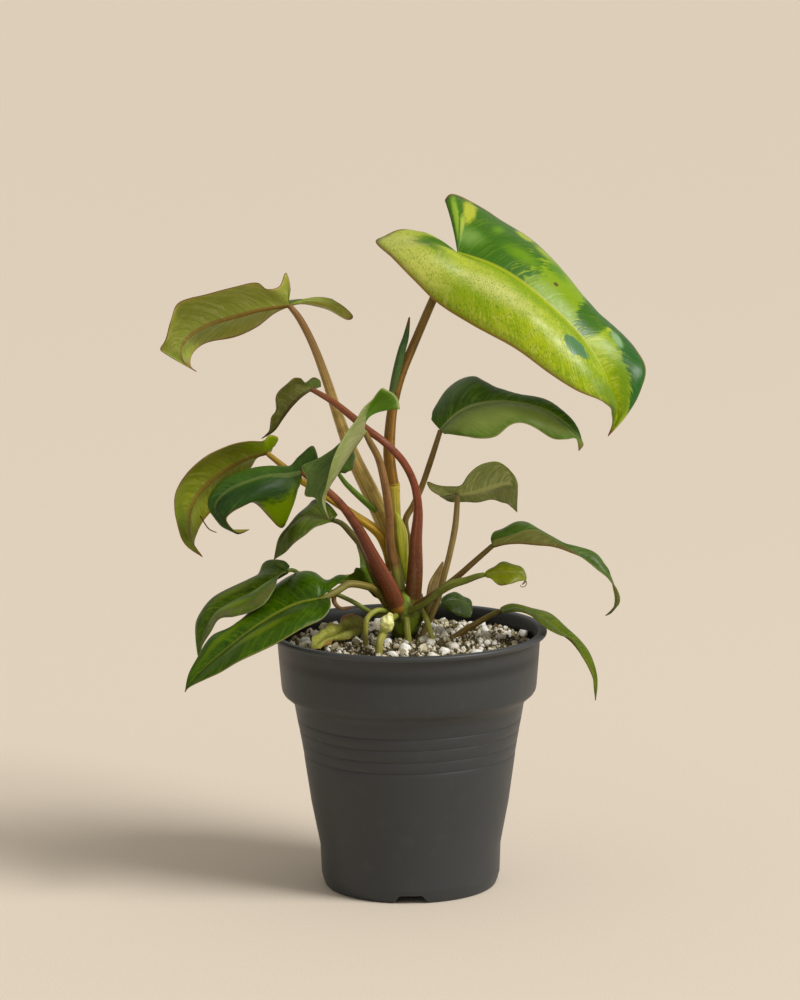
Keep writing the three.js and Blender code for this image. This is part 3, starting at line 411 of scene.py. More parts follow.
GRAINS = scatter_tree()
top_levels = [(radius, lambda x, y: bed_height(x, y) + GRAIN_LIFT) for radius in GRAIN_RINGS]
for name, per_m2, smallest, largest, smooth, seed, corners, squash, light, dark, speck, share in [
    ("perlite_beads", 14000, 2.4, 6.6, True, 11, 40, (1, 1, 0.9), (255, 254, 248), (240, 234, 220),
     (190, 178, 152), 0.35),
    ("pumice_bits", 125000, 0.8, 3.8, False, 12, 15, (1, 0.8, 0.6), (252, 246, 230), (184, 170, 130),
     (116, 100, 62), 0.6),
    ("cream_flakes", 17000, 2.8, 8.2, False, 15, 14, (1, 0.75, 0.26), (250, 246, 230), (218, 208, 176),
     (146, 134, 96), 0.4),
    ("tan_grit", 170000, 0.8, 2.6, False, 13, 12, (1, 0.8, 0.6), (176, 156, 108), (98, 86, 48),
     (62, 52, 28), 0.7),
    ("bark_chips", 60000, 1.2, 5.4, False, 14, 12, (1, 0.55, 0.28), (104, 84, 46), (40, 36, 18),
     (26, 26, 12), 0.7),
]:
    stones = grain_shapes(name, corners, squash, seed)
    skin = grain_skin(name + "_skin", light, dark, speck, share)
    ground = loose_object(name + "_ground", ringed_mesh("top_face", top_levels, GRAIN_TURNS))
    grains = grown(ground, GRAINS, {
        "Density": float(per_m2), "Smallest": smallest * MM, "Largest": largest * MM, "Smooth": smooth,
        "Seed": seed, "Shapes": stones, "Skin": skin})
    for stone in list(stones.objects):
        bpy.data.objects.remove(stone)
    bpy.data.collections.remove(stones)
    new_piece(name, grains)


# Crown. The short green stem that every leaf and root comes from, ringed by the scars of old leaves. It
# stands on the mix and its foot is buried in the grains.
CROWN_PLACE = (-2, -3)
CROWN_TURNS = 64
CROWN_PROFILE = [
    (0, 131.8), (4, 131.2), (6.2, 130), (7.6, 128.6), (8, 127), (8.8, 126), (9.1, 124), (9, 122.3),
    (9.2, 121.5), (8.7, 119.5), (8.2, 117.2), (7.8, 116.5), (6.4, 113), (4.6, 109.7), (0, 109.6),
]


def crown_skin():
    made, place = new_skin("crown_skin")
    fine = cloud(place, 1500, 3)
    colour = blend(between(cloud(place, 230, 4), 0.36, 0.64), (116, 142, 32), (64, 66, 18))
    colour = blend(between(fine, 0.5, 0.7, 0.0, 0.5), colour, (136, 92, 44))
    return finish_skin(made, colour, 0.6, fine, 0.08, shine=0.3, soft=0.02, reach_mm=(1.5, 2, 0.6))


crown = ringed_mesh("crown", CROWN_PROFILE, CROWN_TURNS)
for v in crown.vertices:
    x, y, z = v.co / MM
    spread = (x + CROWN_PLACE[0], y + CROWN_PLACE[1], z)
    swell = 1 + 0.13 * lumps(*spread, 5, 4) + 0.09 * lumps(*spread, 1.8, 8)
    v.co = Vector((x * swell + CROWN_PLACE[0], y * swell + CROWN_PLACE[1], z)) * MM
crown.shade_smooth()
crown.materials.append(crown_skin())
new_piece("crown_stem", crown, ["crown"])


# Roots and bud. Four firm yellow-green roots leave the crown and dive into the mix, and a pale bud sits on
# the thickest. Each grew as one run, so each is one closed sweep.
END_TURNS = (0.35, 0.7, 1.05, 1.35)
THINNEST = 0.15


def smooth_line(points, places):
    """A smooth curve through given points, read at fractional places along them."""
    known = np.asarray(points, float)
    last = len(known) - 1
    k = np.clip(np.floor(places).astype(int), 0, last - 1)
    t = (np.asarray(places) - k)[:, None]
    before, start, end, after = (known[np.clip(k + i, 0, last)] for i in (-1, 0, 1, 2))
    leave, arrive = (end - before) / 2, (after - start) / 2
    bend = 2 * start - 2 * end + leave + arrive
    return bend * t**3 + (3 * end - 3 * start - 2 * leave - arrive) * t**2 + leave * t + start


def sweep_tree():
    """A closed round run along a line of points, whose thickness is stored on the points. It stores how far
    along and on which side each place lies."""
    tree, given = new_tree("run_sweep", [("Step", "Float"), ("Sides", "Int"), ("Skin", "Material")])
    line = add_node(tree, "GeometryNodeMeshToCurve", {0: given["Geometry"]})
    thick = add_node(tree, "GeometryNodeInputNamedAttribute", {"Name": "thick"}, data_type="FLOAT")
    sized = add_node(tree, "GeometryNodeSetCurveRadius", {0: line.outputs[0], "Radius": thick.outputs[0]})
    even = add_node(tree, "GeometryNodeResampleCurve", {"Curve": sized.outputs[0], "Length": given["Step"]},
                    mode="LENGTH")
    part = add_node(tree, "GeometryNodeSplineParameter", {})
    along = add_node(tree, "GeometryNodeStoreNamedAttribute",
                     {"Geometry": even.outputs[0], "Name": "along", "Value": part.outputs["Factor"]},
                     data_type="FLOAT", domain="POINT")
    ring = add_node(tree, "GeometryNodeCurvePrimitiveCircle", {"Resolution": given["Sides"], "Radius": 1.0})
    side = add_node(tree, "GeometryNodeInputPosition", {})
    marked = add_node(tree, "GeometryNodeStoreNamedAttribute",
                      {"Geometry": ring.outputs[0], "Name": "round", "Value": side.outputs[0]},
                      data_type="FLOAT_VECTOR", domain="POINT")
    run = add_node(tree, "GeometryNodeCurveToMesh",
                   {"Curve": along.outputs[0], "Profile Curve": marked.outputs[0], "Fill Caps": True})
    if "Scale" in run.inputs:
        tree.links.new(add_node(tree, "GeometryNodeInputRadius", {}).outputs[0], run.inputs["Scale"])
    smooth = add_node(tree, "GeometryNodeSetShadeSmooth", {0: run.outputs[0]})
    real = add_node(tree, "GeometryNodeRealizeInstances", {0: smooth.outputs[0]})
    coated = add_node(tree, "GeometryNodeSetMaterial", {0: real.outputs[0], "Material": given["Skin"]})
    add_node(tree, "NodeGroupOutput", {0: coated.outputs[0]})
    return tree


SWEEP = sweep_tree()


def run_mesh(name, path, skin, sides=20, step=0.7, rounded=(False, False)):
    """A run of round sections along points of (x, y, z, radius) in millimetres, with its ends closed."""
    fine = smooth_line(path, np.linspace(0, len(path) - 1, 10 * (len(path) - 1) + 1))
    fine[:, 3] = np.maximum(fine[:, 3], THINNEST)
    ends = []
    for at_end, wanted in enumerate(rounded):
        tip = fine[::-1] if at_end else fine
        away = (tip[0, :3] - tip[1, :3]) / np.linalg.norm(tip[0, :3] - tip[1, :3])
        cap = [[*(tip[0, :3] + away * tip[0, 3] * math.sin(a)), max(tip[0, 3] * math.cos(a), 0.05)]
               for a in END_TURNS] if wanted else []
        ends.append(np.array(cap).reshape(-1, 4))
    fine = np.concatenate([ends[0][::-1], fine, ends[1]])
    line = bpy.data.meshes.new(name)
    line.from_pydata((fine[:, :3] * MM).tolist(), [(i, i + 1) for i in range(len(fine) - 1)], [])
    thick = line.attributes.new("thick", "FLOAT", "POINT")
    thick.data.foreach_set("value", (fine[:, 3] * MM).astype(np.float32))
    return grown(loose_object(name, line), SWEEP, {"Step": step * MM, "Sides": sides, "Skin": skin})


def toned(colour, **settings):
    """The colour made fuller, paler or darker."""
    return Field(add_node(colour.tree, "ShaderNodeHueSaturation", {"Color": colour, **settings}).outputs[0])


def stalk_skin(name, colours, gloss=0.42, soft=0.05, speckle=0.2, bend=0.5, base=None):
    """Skin of a stalk. Its colours are those of the foot, middle and top and of the fine streaks along it,
    and small flecks lie over them. A base (colour, share of the length) is the paler joint that it grows
    from, marked off by a thin brown ring."""
    foot, middle, top, streak = colours
    made, place = new_skin(name)
    along = stored(place, "along")
    x, y, _ = stored(place, "round", "Vector").parts()
    streaks = cloud(spot(x, y, along * 0.6), 3.6, 5, 0.68)
    flecks = cloud(place, 1900, 2)
    drift = along + (streaks - 0.5) * 0.35
    colour = blend(between(drift, 0.0, bend), foot, middle)
    colour = blend(between(drift, bend, 1.0), colour, top)
    colour = blend(between(streaks, 0.5, 0.62, 0.0, 0.7), colour, streak)
    colour = blend(between(streaks, 0.36, 0.46, 0.75, 0.0), colour, toned(colour, Saturation=0.9, Value=1.7))
    colour = blend(between(cloud(place, 170, 3), 0.5, 0.68, 0.0, 0.5), colour, streak)
    colour = blend(between(flecks, 0.6, 0.72, 0.0, speckle), colour, (206, 196, 150))
    if base:
        joint, share = base
        near = along + (streaks - 0.5) * 0.03
        colour = blend(between(near, share * 0.75, share * 1.05, 1.0, 0.0), colour, joint)
        colour = blend(between(abs(along - share), 0.001, 0.008, 0.5, 0.0), colour, (96, 70, 40))
    colour = toned(colour, Saturation=1.05, Value=0.97)
    rough = between(flecks, 0.3, 0.7, gloss - 0.08, gloss + 0.05)
    return finish_skin(made, colour, rough, streaks, 0.25, 0.8, 0.3, soft, (2, 1.8, 0.6))


root_skin = stalk_skin("root_skin", [(122, 134, 50), (158, 160, 72), (148, 138, 74), (132, 132, 66)], 0.5)
for name, path in [
    ("root_left", [
        (-9, -9.5, 122.5, 1.1), (-13.5, -15, 124, 1.2), (-17.5, -18, 121.5, 1.2), (-18.5, -19, 117, 1.2),
        (-18.5, -19, 109.5, 1.1),
    ]),
    ("root_front", [(-3, -8, 124, 1.3), (-1, -11, 120, 1.4), (-0.5, -13, 114, 1.4), (0.5, -13, 105, 1.4)]),
    ("root_right", [
        (5.5, -6.5, 122.5, 1.2), (7.5, -10.5, 119.5, 1.2), (9, -12, 115, 1.2), (11, -13, 107.5, 1.1),
    ]),
    ("root_thick", [
        (-5.5, -12, 121, 1.4), (-9, -20, 120, 1.6), (-10.5, -27, 117, 1.7), (-12.5, -31, 113, 1.7),
        (-13, -33, 104.5, 1.6),
    ]),
]:
    new_piece(name + "_skin", run_mesh(name, path, root_skin, 16), [name])

bud_skin = stalk_skin("bud_skin", [(150, 168, 60), (226, 226, 140), (240, 238, 186), (214, 214, 120)],
                      gloss=0.45, soft=0.15, speckle=0.1, bend=0.3)
bud_path = [
    (-10.5, -28, 118, 1.8), (-9.5, -28, 119.5, 2.8), (-9, -28, 122, 3), (-8.5, -28, 124, 1.6),
]
bud = run_mesh("bud", bud_path, bud_skin, 24, 0.4, (True, True))
for v in bud.vertices:
    x, y, z = v.co / MM
    v.co = Vector((x + 0.8 * lumps(x, y, z, 2.4, 5), y + 0.8 * lumps(x, y, z, 2.4, 6),
                   z + 0.5 * lumps(x, y, z, 2, 7))) * MM
    v.co += v.normal * 0.55 * MM * lumps(x, y, z, 1.3, 8)
new_piece("root_bud_skin", bud, ["root_bud"])


# Sheaths, shoot and spear. Leaf-like wraps that grew round young leaves: the yellow-green one under the
# tall stalk ends in a ring, the lime shoot is still closed, the rolled spear lies along the tall stalk and
# the papery one has dried round its stalk.
for node, slot, sides, step, rounded, colours, look, path in [
    ("stem_sheath", "stalk_yellow", 28, 0.7, (False, False),
     [(158, 172, 70), (196, 192, 78), (186, 168, 66), (158, 158, 62)], (0.4, 0.08), [
         (-3.5, 2.5, 127, 2.9), (-5, 2, 138.5, 2.6), (-5, 2, 149.5, 2.5), (-5.5, 1, 162.5, 2.6),
         (-6, 0, 175, 2.8),
         (-6, 0, 175.4, 3), (-6.05, 0, 176, 2.95), (-6.1, 0, 176.4, 2.75),
     ]),
    ("young_shoot", "shoot", 24, 0.6, (False, True),
     [(186, 204, 66), (236, 248, 96), (244, 248, 116), (204, 226, 66)], (0.35, 0.15, 0.1, 0.3), [
         (-1.5, -1, 133, 1), (-1.5, -2, 141.5, 1.6), (-2, -3, 150.5, 2.2), (-2.5, -3, 156, 2.2),
         (-3.5, -2.5, 160.5, 1.4), (-4.5, -2, 163.5, 0.6),
     ]),
    ("rolled_spear", "leaf_dark", 20, 0.5, (True, True),
     [(84, 96, 46), (46, 78, 30), (112, 70, 44), (66, 100, 50)], (0.4, 0.05, 0.2, 0.8), [
         (-7, -3.5, 213.5, 1.2), (-4.5, -3, 224, 1.8), (-2, -1.5, 234, 1.7), (0, -0.5, 240.5, 1.3),
         (1.5, 0, 248.5, 0.4),
     ]),
    ("papery_sheath", "dry_sheath", 24, 0.6, (False, True),
     [(226, 208, 148), (222, 202, 144), (186, 160, 106), (158, 130, 84)], (0.75, 0.0, 0.4), [
         (8.5, -2, 119, 1.6), (10, -3, 125, 2.6), (11, -4, 132.5, 2.4), (13, -5, 138, 1.6),
         (15, -6, 143, 0.5),
     ]),
]:
    skin = stalk_skin(node + "_colours", colours, *look)
    new_piece(node + "_skin", run_mesh(node, path, skin, sides, step, rounded), [node])


# Top right leaf, the large one with yellow-green marbling. Every leaf is one soft blade on one stalk: the
# blade has a midrib from joint to tip and two basal lobes, and its veins leave the midrib and sweep to the
# margin.
BLADE_COLUMNS, COLUMN_CROWDING = 13, 1.45
BLADE_GAP, ROW_GAP, FEWEST_ROWS = 1.15, 3.91, 12
FLESH = 0.44
VEIN_SWEEP = 0.16
RIM_STEPS, MIDRIB_STEPS, SPREAD_STEPS = 60, 300, 400
SOFTENED_ROWS = 10
MARGIN_WAVES, WAVE_START = 3.2, {"left": 1, "right": 4}
STALK_ROOT = 1.8


def steps_to(points):
    """Distance run along a row of points, from its start."""
    return np.r_[0, np.cumsum(np.linalg.norm(np.diff(points, axis=0), axis=1))]


def unit(vectors):
    size = np.linalg.norm(vectors, axis=-1, keepdims=True)
    return vectors / np.where(size < 1e-9, 1, size)


def margin(stations, tip):
    """The margin of one half as fine points, with where each lies along its stations and along the midrib."""
    line = np.array([*stations, (1, *tip, 0)], float)
    places = np.linspace(0, len(line) - 1, RIM_STEPS * len(line))
    rim = smooth_line(line[:, 1:], places)
    return line, places, rim, steps_to(rim[:, :3]), np.interp(places, np.arange(len(line)), line[:, 0])


def blade_rows(midrib, stations, side, mid_at, shares):
    """Points of one half, row by row from midrib to margin, and how far round the margin each row ends."""
    line, places, rim, arc, root = margin(stations, midrib[-1])
    lobe_arc = np.interp(int((line[:, 0] == 0).sum()) - 1, places, arc)
    fans = max(int(lobe_arc / BLADE_GAP), 2)
    body = np.interp(np.interp(shares, root, places), places, arc)
    ends = np.r_[np.linspace(0, lobe_arc, fans + 1)[:-1], body]
    ends[fans] = lobe_arc
    edge = np.stack([np.interp(ends, arc, rim[:, c]) for c in range(4)], 1)
    mid = mid_at(np.r_[np.zeros(fans), shares])
    out, onward = edge[:, :3] - mid, np.gradient(edge[:, :3], axis=0)
    up = unit(np.cross(onward, out) if side == "left" else np.cross(out, onward))
    up[:fans + 1] = up[fans + 1]
    up[-2:] = up[-3]
    window = np.hanning(2 * SOFTENED_ROWS + 1)
    padded = np.concatenate([np.repeat(up[:1], SOFTENED_ROWS, 0), up, np.repeat(up[-1:], SOFTENED_ROWS, 0)])
    up = unit(np.stack([np.convolve(padded[:, c], window / window.sum(), "valid") for c in range(3)], 1))
    across = (np.linspace(0, 1, BLADE_COLUMNS + 1) ** COLUMN_CROWDING)[None, :, None]
    points = mid[:, None] * (1 - across) + edge[:, None, :3] * across
    points += up[:, None] * (4 * edge[:, None, 3:4] * across * (1 - across))
    return points, ends / arc[-1], fans, across[0, :, 0]


def blade_mesh(name, midrib, left, right, veins=11, relief=0.1, ripple=0.35, rib=1.0, crumple=0.3, pucker=9):
    """One closed leaf blade: a smooth sheet through the rows of both halves, given its thickness, a raised
    rib under the midrib and shallow vein furrows. Its "leaf" map runs round the margin and across."""
    fine = smooth_line(midrib, np.linspace(0, len(midrib) - 1, MIDRIB_STEPS))
    length = steps_to(fine)[-1]
    run = steps_to(fine) / length

    def mid_at(share):
        return np.stack([np.interp(share, run, fine[:, c]) for c in range(3)], 1)

    tries = np.linspace(0, 1, SPREAD_STEPS)
    spread = 2 * length * tries
    for stations in (left, right):
        _, places, _, arc, root = margin(stations, midrib[-1])
        spread = spread + np.interp(np.interp(tries, root, places), places, arc)
    spread -= spread[0]
    count = max(int(spread[-1] / ROW_GAP), FEWEST_ROWS)
    shares = np.interp(np.linspace(0, spread[-1], count + 1)[:-1], spread, tries)
    points = [*mid_at(shares), np.array(midrib[-1], float)]
    tip = len(points) - 1
    lift, half = [0.0] * len(points), [FLESH / 2] * len(points)
    sheet, rims = [], []
    for side, stations, sign in (("left", left, 1), ("right", right, -1)):
        rows, ends, fans, across = blade_rows(midrib, stations, side, mid_at, shares)
        table = []
        for i, row in enumerate(rows):
            # A row starts on the midrib and crosses to the margin, with a furrow over each vein, waves at the
            # margin and soft lumps between.
            table.append([max(i - fans, 0), *range(len(points), len(points) + BLADE_COLUMNS)])
            for j in range(1, BLADE_COLUMNS + 1):
                points.append(row[j])
                phase = veins * (ends[i] - VEIN_SWEEP * across[j] ** 1.4)
                furrow = math.cos(2 * math.pi * phase) ** 8 * math.sin(math.pi * min(across[j] * 1.15, 1))
                waved = math.sin(2 * math.pi * MARGIN_WAVES * ends[i] + WAVE_START[side])
                bump = ripple * across[j] ** 3 * waved + crumple * across[j] * lumps(*row[j], pucker, 21)
                lift.append(bump * min(1, 6 * (1 - ends[i])) - relief * furrow)
                half.append(FLESH * (0.5 - 0.2 * across[j] ** 3))
        table.append([tip] * (BLADE_COLUMNS + 1))
        ends = np.r_[ends, 1]
        sides = 0.5 + 0.5 * sign * across
        for i in range(len(table) - 1):
            for j in range(BLADE_COLUMNS):
                corners = [(table[a][b], ends[a], sides[b])
                           for a, b in ((i, j), (i + 1, j), (i + 1, j + 1), (i, j + 1))]
                kept = [c for n, c in enumerate(corners) if c[0] != corners[n - 1][0]]
                if len({c[0] for c in kept}) > 2:
                    sheet.append(kept[::sign])
        rim = [(v, 0, t) for v, t in zip(table[0], sides)]
        rim += [(row[-1], u, sides[-1]) for row, u in zip(table[1:], ends[1:])]
        rims.append((sign, rim))
    points = np.array(points)
    normals = np.zeros_like(points)
    for face in sheet:
        ids = [c[0] for c in face]
        for n in range(1, len(ids) - 1):
            normal = np.cross(points[ids[n]] - points[ids[0]], points[ids[n + 1]] - points[ids[0]])
            for v in (ids[0], ids[n], ids[n + 1]):
                normals[v] += normal
    normals = unit(normals)
    points = points + normals * np.array(lift)[:, None]
    half = np.array(half)
    swell = np.zeros(len(points))
    swell[:tip] = rib * (1 - np.linspace(0, 1, tip)) ** 0.7
    upper = points + normals * half[:, None]
    lower = points - normals * (half + swell)[:, None]
    total = len(points)
    faces, kinds = [], []
    for face in sheet:
        faces += [face, [(v + total, u, t) for v, u, t in reversed(face)]]
        kinds += [0, 1]
    for sign, rim in rims:
        for (a, ua, ta), (b, ub, tb) in zip(rim, rim[1:]):
            if a != b:
                faces.append([(a, ua, ta), (b, ub, tb), (b + total, ub, tb), (a + total, ua, ta)][::sign])
                kinds.append(0)
    mesh = bpy.data.meshes.new(name)
    verts = np.concatenate([upper, lower]) * MM
    mesh.from_pydata(verts.tolist(), [], [[c[0] for c in face] for face in faces])
    flat = [value for face in faces for c in face for value in (c[1], c[2])]
    mesh.uv_layers.new(name="leaf").data.foreach_set("uv", flat)
    mesh.polygons.foreach_set("material_index", kinds)
    mesh.shade_smooth()
    return mesh


def leaf_skin(name, veins, colours, patches=(), flecks=None, gloss=0.42, vein_share=0.3, soft=0.12,
              rib_width=0.05, stripes=0.3, tip=None, outer=None, depth=0.82, shine=0.28):
    """Skin of one side of a leaf. Its colours are the ground, a shade and a light one that drift over it, and
    those of the veins, midrib and margin. Patches are given as (round the margin, across, half sizes, colour,
    blur), and flecks as (colour, amount, half). Depth is how light the colours come out."""
    ground, shade, light, vein, rib, edge = colours
    made, place = new_skin(name)
    around, way, _ = Field(add_node(place.tree, "ShaderNodeUVMap", {}, uv_map="leaf").outputs[0]).parts()
    signed = way * 2.0 - 1.0
    across = abs(signed)
    broad, middle, fine = cloud(place, 70, 4), cloud(place, 260, 4), cloud(place, 1500, 4, 0.65)
    swept = around - across ** 1.4 * VEIN_SWEEP + (middle - 0.5) * 0.02

    def along_veins(length, width, *settings):
        return cloud(spot(swept * length, signed * width), 1.0, *settings)

    ribbing, bands, mottle = along_veins(190.0, 2.5, 2), along_veins(44.0, 1.4, 3), along_veins(90.0, 9.0, 4)
    colour = blend(between(broad, 0.4, 0.62), ground, shade)
    colour = blend(between(middle, 0.52, 0.72, 0.0, 0.45), colour, light)
    if outer:
        colour = blend(between(across + broad * 0.3, 0.7, 1.15), colour, outer)
    colour = blend(between(bands, 0.5, 0.62, 0.0, 0.75), colour, shade)
    colour = blend(between(bands, 0.36, 0.46, 0.6, 0.0), colour, light)
    colour = blend(between(mottle, 0.54, 0.64, 0.0, 0.45), colour, shade)
    colour = blend(between(mottle, 0.34, 0.44, 0.4, 0.0), colour, light)
    colour = blend(between(ribbing, 0.45, 0.7, 0.0, stripes), colour, light)
    for u, v, half_u, half_v, patch, blur in patches:
        far = spot((around - u) * (1 / half_u), (signed - v) * (1 / half_v)).length()
        ragged = far + (middle - 0.5) * 0.8 + (ribbing - 0.5) * 0.9
        colour = blend(between(ragged, 1 - blur, 1 + blur, 1.0, 0.0), colour, patch)
    colour = blend(between(ribbing, 0.5, 0.75, 0.0, stripes * 0.3), colour, light)
    if flecks:
        fleck, amount, one_half = flecks
        dots = between(along_veins(330.0, 30.0, 3, 0.7), 0.47, 0.6) * between(middle, 0.35, 0.6, 0.3, 1.0)
        if one_half:
            dots = dots * between(signed * one_half, 0.0, 0.12)
        colour = blend(dots * amount, colour, fleck)
    saw = abs((swept * veins).calculate("FRACT") - 0.5) * 2.0
    line = between(saw, 0.86, 1.0) * between(across, 0.35, 1.0, 1.0, 0.25)
    colour = blend(line * vein_share, colour, vein)
    if tip:
        colour = blend(between(around, 0.93, 1.0), colour, tip)
    ribbed = between(across / between(around, 0.2, 1.0, rib_width, rib_width * 2.2), 0.55, 1.1, 1.0, 0.0)
    colour = blend(ribbed * between(around, 0.35, 0.9, 0.75, 0.375), colour, rib)
    colour = blend(between(across, 0.955, 0.99, 0.0, 0.8), colour, edge)
    colour = toned(colour, Hue=0.494, Saturation=1.14, Value=depth)
    rough = between(middle, 0.3, 0.7, gloss - 0.05, gloss + 0.08)
    height = fine * 0.25 + ribbing * 0.5 - line * (vein_share * 2.5)
    return finish_skin(made, colour, rough, height, 0.12, 0.7, shine, soft, (1.4, 1.4, 0.5))


def coated_blade(place, veins, blade, upper, under, **shape):
    """A blade with its upper and under skin."""
    mesh = blade_mesh(place, **blade, veins=veins, **shape)
    for side, look in (("upper", upper), ("under", under)):
        mesh.materials.append(leaf_skin(f"{place}_{side}", veins, **look))
    return mesh


def grow_leaf(place, slots, veins, blade, upper, under, stalk=None, bark=None, **shape):
    """One blade and the stalk that carries it, which starts a little inside what it grows from."""
    mesh = coated_blade(place, veins, blade, upper, under, **shape)
    new_piece(f"{place}_leaf", mesh, ["blade_" + place])
    if stalk:
        first, second = np.array(stalk[0]), np.array(stalk[1])
        inside = first[:3] - STALK_ROOT * unit(second[:3] - first[:3])
        skin = stalk_skin(f"{place}_stalk_skin", **bark)
        run = run_mesh(place, [(*inside, first[3]), *stalk], skin, 22, 0.7, (True, False))
        new_piece(f"{place}_petiole", run, ["stalk_" + place])


blade = {
    "midrib": [
        (22.5, 8, 275), (36.5, 5, 270.5), (49, 2, 263.5), (61, -1, 253.5), (71, -3, 244), (79.5, -5, 233.5),
        (85.5, -7, 222.5), (89, -8, 212.5), (90, -8, 204.5), (86, -8, 197.5),
    ],
    "left": [
        (0, 17.5, 31, 295.5, 1), (0, 20.5, 34, 298, 2), (0, 28.5, 38, 294.5, 3), (0.06, 41.5, 37.5, 287, 4),
        (0.2, 56.5, 33.5, 276.5, 5), (0.38, 70.5, 27.5, 262.5, 5), (0.55, 83, 20.5, 248, 4),
        (0.7, 95.5, 11, 236.5, 4), (0.82, 102.5, -1.5, 227, 3), (0.92, 100, -7, 216.5, 2),
        (0.97, 93, -8, 205.5, 1),
    ],
    "right": [
        (0, 8.5, 12, 284, 1), (0, -1, 12, 285.5, 2), (0, -8.5, 8, 283, 3), (0, -12.5, 2, 280.5, 4),
        (0, -5.5, -9, 275, 6), (0.03, 3.5, -12.5, 266, 7), (0.12, 13.5, -11, 256, 8), (0.26, 28, -14, 247, 8),
        (0.42, 46, -20.5, 237.5, 7), (0.58, 60.5, -23, 227, 6), (0.72, 72, -22.5, 219.5, 5),
        (0.85, 83.5, -19, 214, 3), (0.95, 89, -7, 206.5, 1),
    ],
}
stalk = [
    (-6, 0, 175.5, 2.6), (-7.5, 0, 186, 2.6), (-7.5, 0, 195.5, 2.5), (-6, 0, 209.5, 2.2), (-2.5, 1, 223, 2.1),
    (3.5, 3, 237, 1.9), (12, 6, 256, 1.8), (19, 9, 270, 1.5), (22.5, 9, 274.5, 1.2),
]
grow_leaf(
    "top_right", ("leaf_variegated", "stalk_brown"), 14, blade, stalk=stalk, relief=0.05, rib=1.3,
    upper=dict(
        colours=[(180, 204, 66), (148, 182, 50), (210, 220, 122), (160, 188, 58), (186, 198, 84),
                 (168, 136, 84)],
        gloss=0.32, shine=0.3, depth=0.8, vein_share=0.12, stripes=0.5, rib_width=0.03, tip=(140, 80, 56),
        flecks=((96, 134, 40), 0.7, -1),
        patches=[
            (0.38, 0.4, 0.2, 1.2, (140, 176, 56), 0.3), (0.15, 0.5, 0.21, 1.3, (64, 116, 28), 0.12),
            (0.09, 0.74, 0.024, 0.24, (190, 202, 92), 0.35), (0.065, 0.4, 0.014, 0.2, (176, 198, 100), 0.5),
            (0.03, 0.6, 0.012, 0.36, (150, 186, 84), 0.5), (0.12, 0.28, 0.05, 0.12, (128, 168, 92), 0.9),
            (0.27, 0.88, 0.026, 0.14, (182, 200, 84), 0.4), (0.2, 0.62, 0.014, 0.1, (104, 156, 54), 0.8),
            (0.4, 0.62, 0.03, 0.14, (96, 146, 44), 0.7), (0.3, 0.35, 0.05, 0.1, (112, 158, 52), 0.8),
            (0.34, 0.8, 0.03, 0.12, (166, 192, 84), 0.8), (0.42, 0.32, 0.008, 0.03, (96, 84, 40), 0.3),
            (0.56, 0.62, 0.055, 0.62, (58, 110, 30), 0.14), (0.78, 0.42, 0.13, 0.22, (128, 164, 62), 0.9),
            # The bluish-pale patch at (0.66, 0.62) and the pale patch at (0.45, -0.45) are painted highlights
            # on the blade.
            (0.74, 0.86, 0.17, 0.36, (50, 104, 48), 0.14), (0.66, 0.62, 0.03, 0.1, (150, 186, 140), 0.5),
            (0.88, -0.6, 0.08, 0.4, (124, 154, 62), 0.5), (0.45, -0.45, 0.14, 0.16, (216, 224, 140), 0.8),
            (0.62, -0.15, 0.16, 0.1, (150, 180, 64), 0.8), (0.3, -0.25, 0.14, 0.14, (196, 212, 96), 0.8),
            (0.2, -0.8, 0.16, 0.25, (206, 214, 120), 0.5), (0.71, -0.4, 0.036, 0.15, (92, 136, 104), 0.12),
        ]),
    under=dict(
        colours=[(168, 184, 92), (150, 168, 84), (190, 200, 120), (140, 160, 74), (170, 150, 90),
                 (160, 120, 80)],
        gloss=0.55,
        patches=[
            (0.17, 0.5, 0.22, 0.8, (96, 130, 66), 0.2), (0.8, 0.92, 0.2, 0.32, (88, 124, 70), 0.2),
        ]),
    bark=dict(
        colours=[(146, 104, 42), (132, 98, 44), (116, 100, 46), (84, 74, 34)],
        gloss=0.4))


# Top left leaf, seen from below: olive with a brown midrib and a brownish margin. It hangs over to the left
# on a long brown stalk, and its two lobes curl up at the joint.
blade = {
    "midrib": [
        (-50.5, 12, 253), (-62, 9, 251.5), (-72, 7, 249), (-82.5, 6, 246), (-90.5, 5, 242), (-95.5, 4, 237.5),
        (-96.5, 3, 233.5), (-94.5, 2, 229), (-90, 1, 226),
    ],
    "left": [
        (0, -49.5, 10, 259.5, 0), (0, -51, 8, 267.5, 0), (0, -54, 6, 262, 0), (0.03, -59, 1.5, 261.5, 1),
        (0.12, -63.5, -3, 264.5, 2), (0.25, -72.5, -8, 263, 3), (0.4, -82.5, -8.5, 261, 3),
        (0.55, -92, -6, 258.5, 3), (0.66, -97.5, -6, 255.5, 3), (0.76, -100, -6, 248.5, 2),
        (0.84, -103, -2, 240.5, 2), (0.9, -105.5, 2, 235.5, 1), (0.95, -101.5, 1.5, 232.5, 0),
    ],
    "right": [
        (0, -32, 19, 254.5, 2), (0, -23, 20, 247.5, 3.5), (0, -26, 22, 245, 3.5), (0, -36.5, 27, 250, 3),
        (0.02, -47, 28.5, 251.5, 2), (0.1, -56.5, 28.5, 247.5, 3), (0.2, -64.5, 28, 241.5, 3),
        (0.35, -74, 25, 238, 3), (0.5, -83.5, 21, 236.5, 2), (0.64, -89, 14, 235, 2),
        (0.78, -92, 6, 232.5, 1), (0.9, -92.5, 2, 228.5, 0),
    ],
}
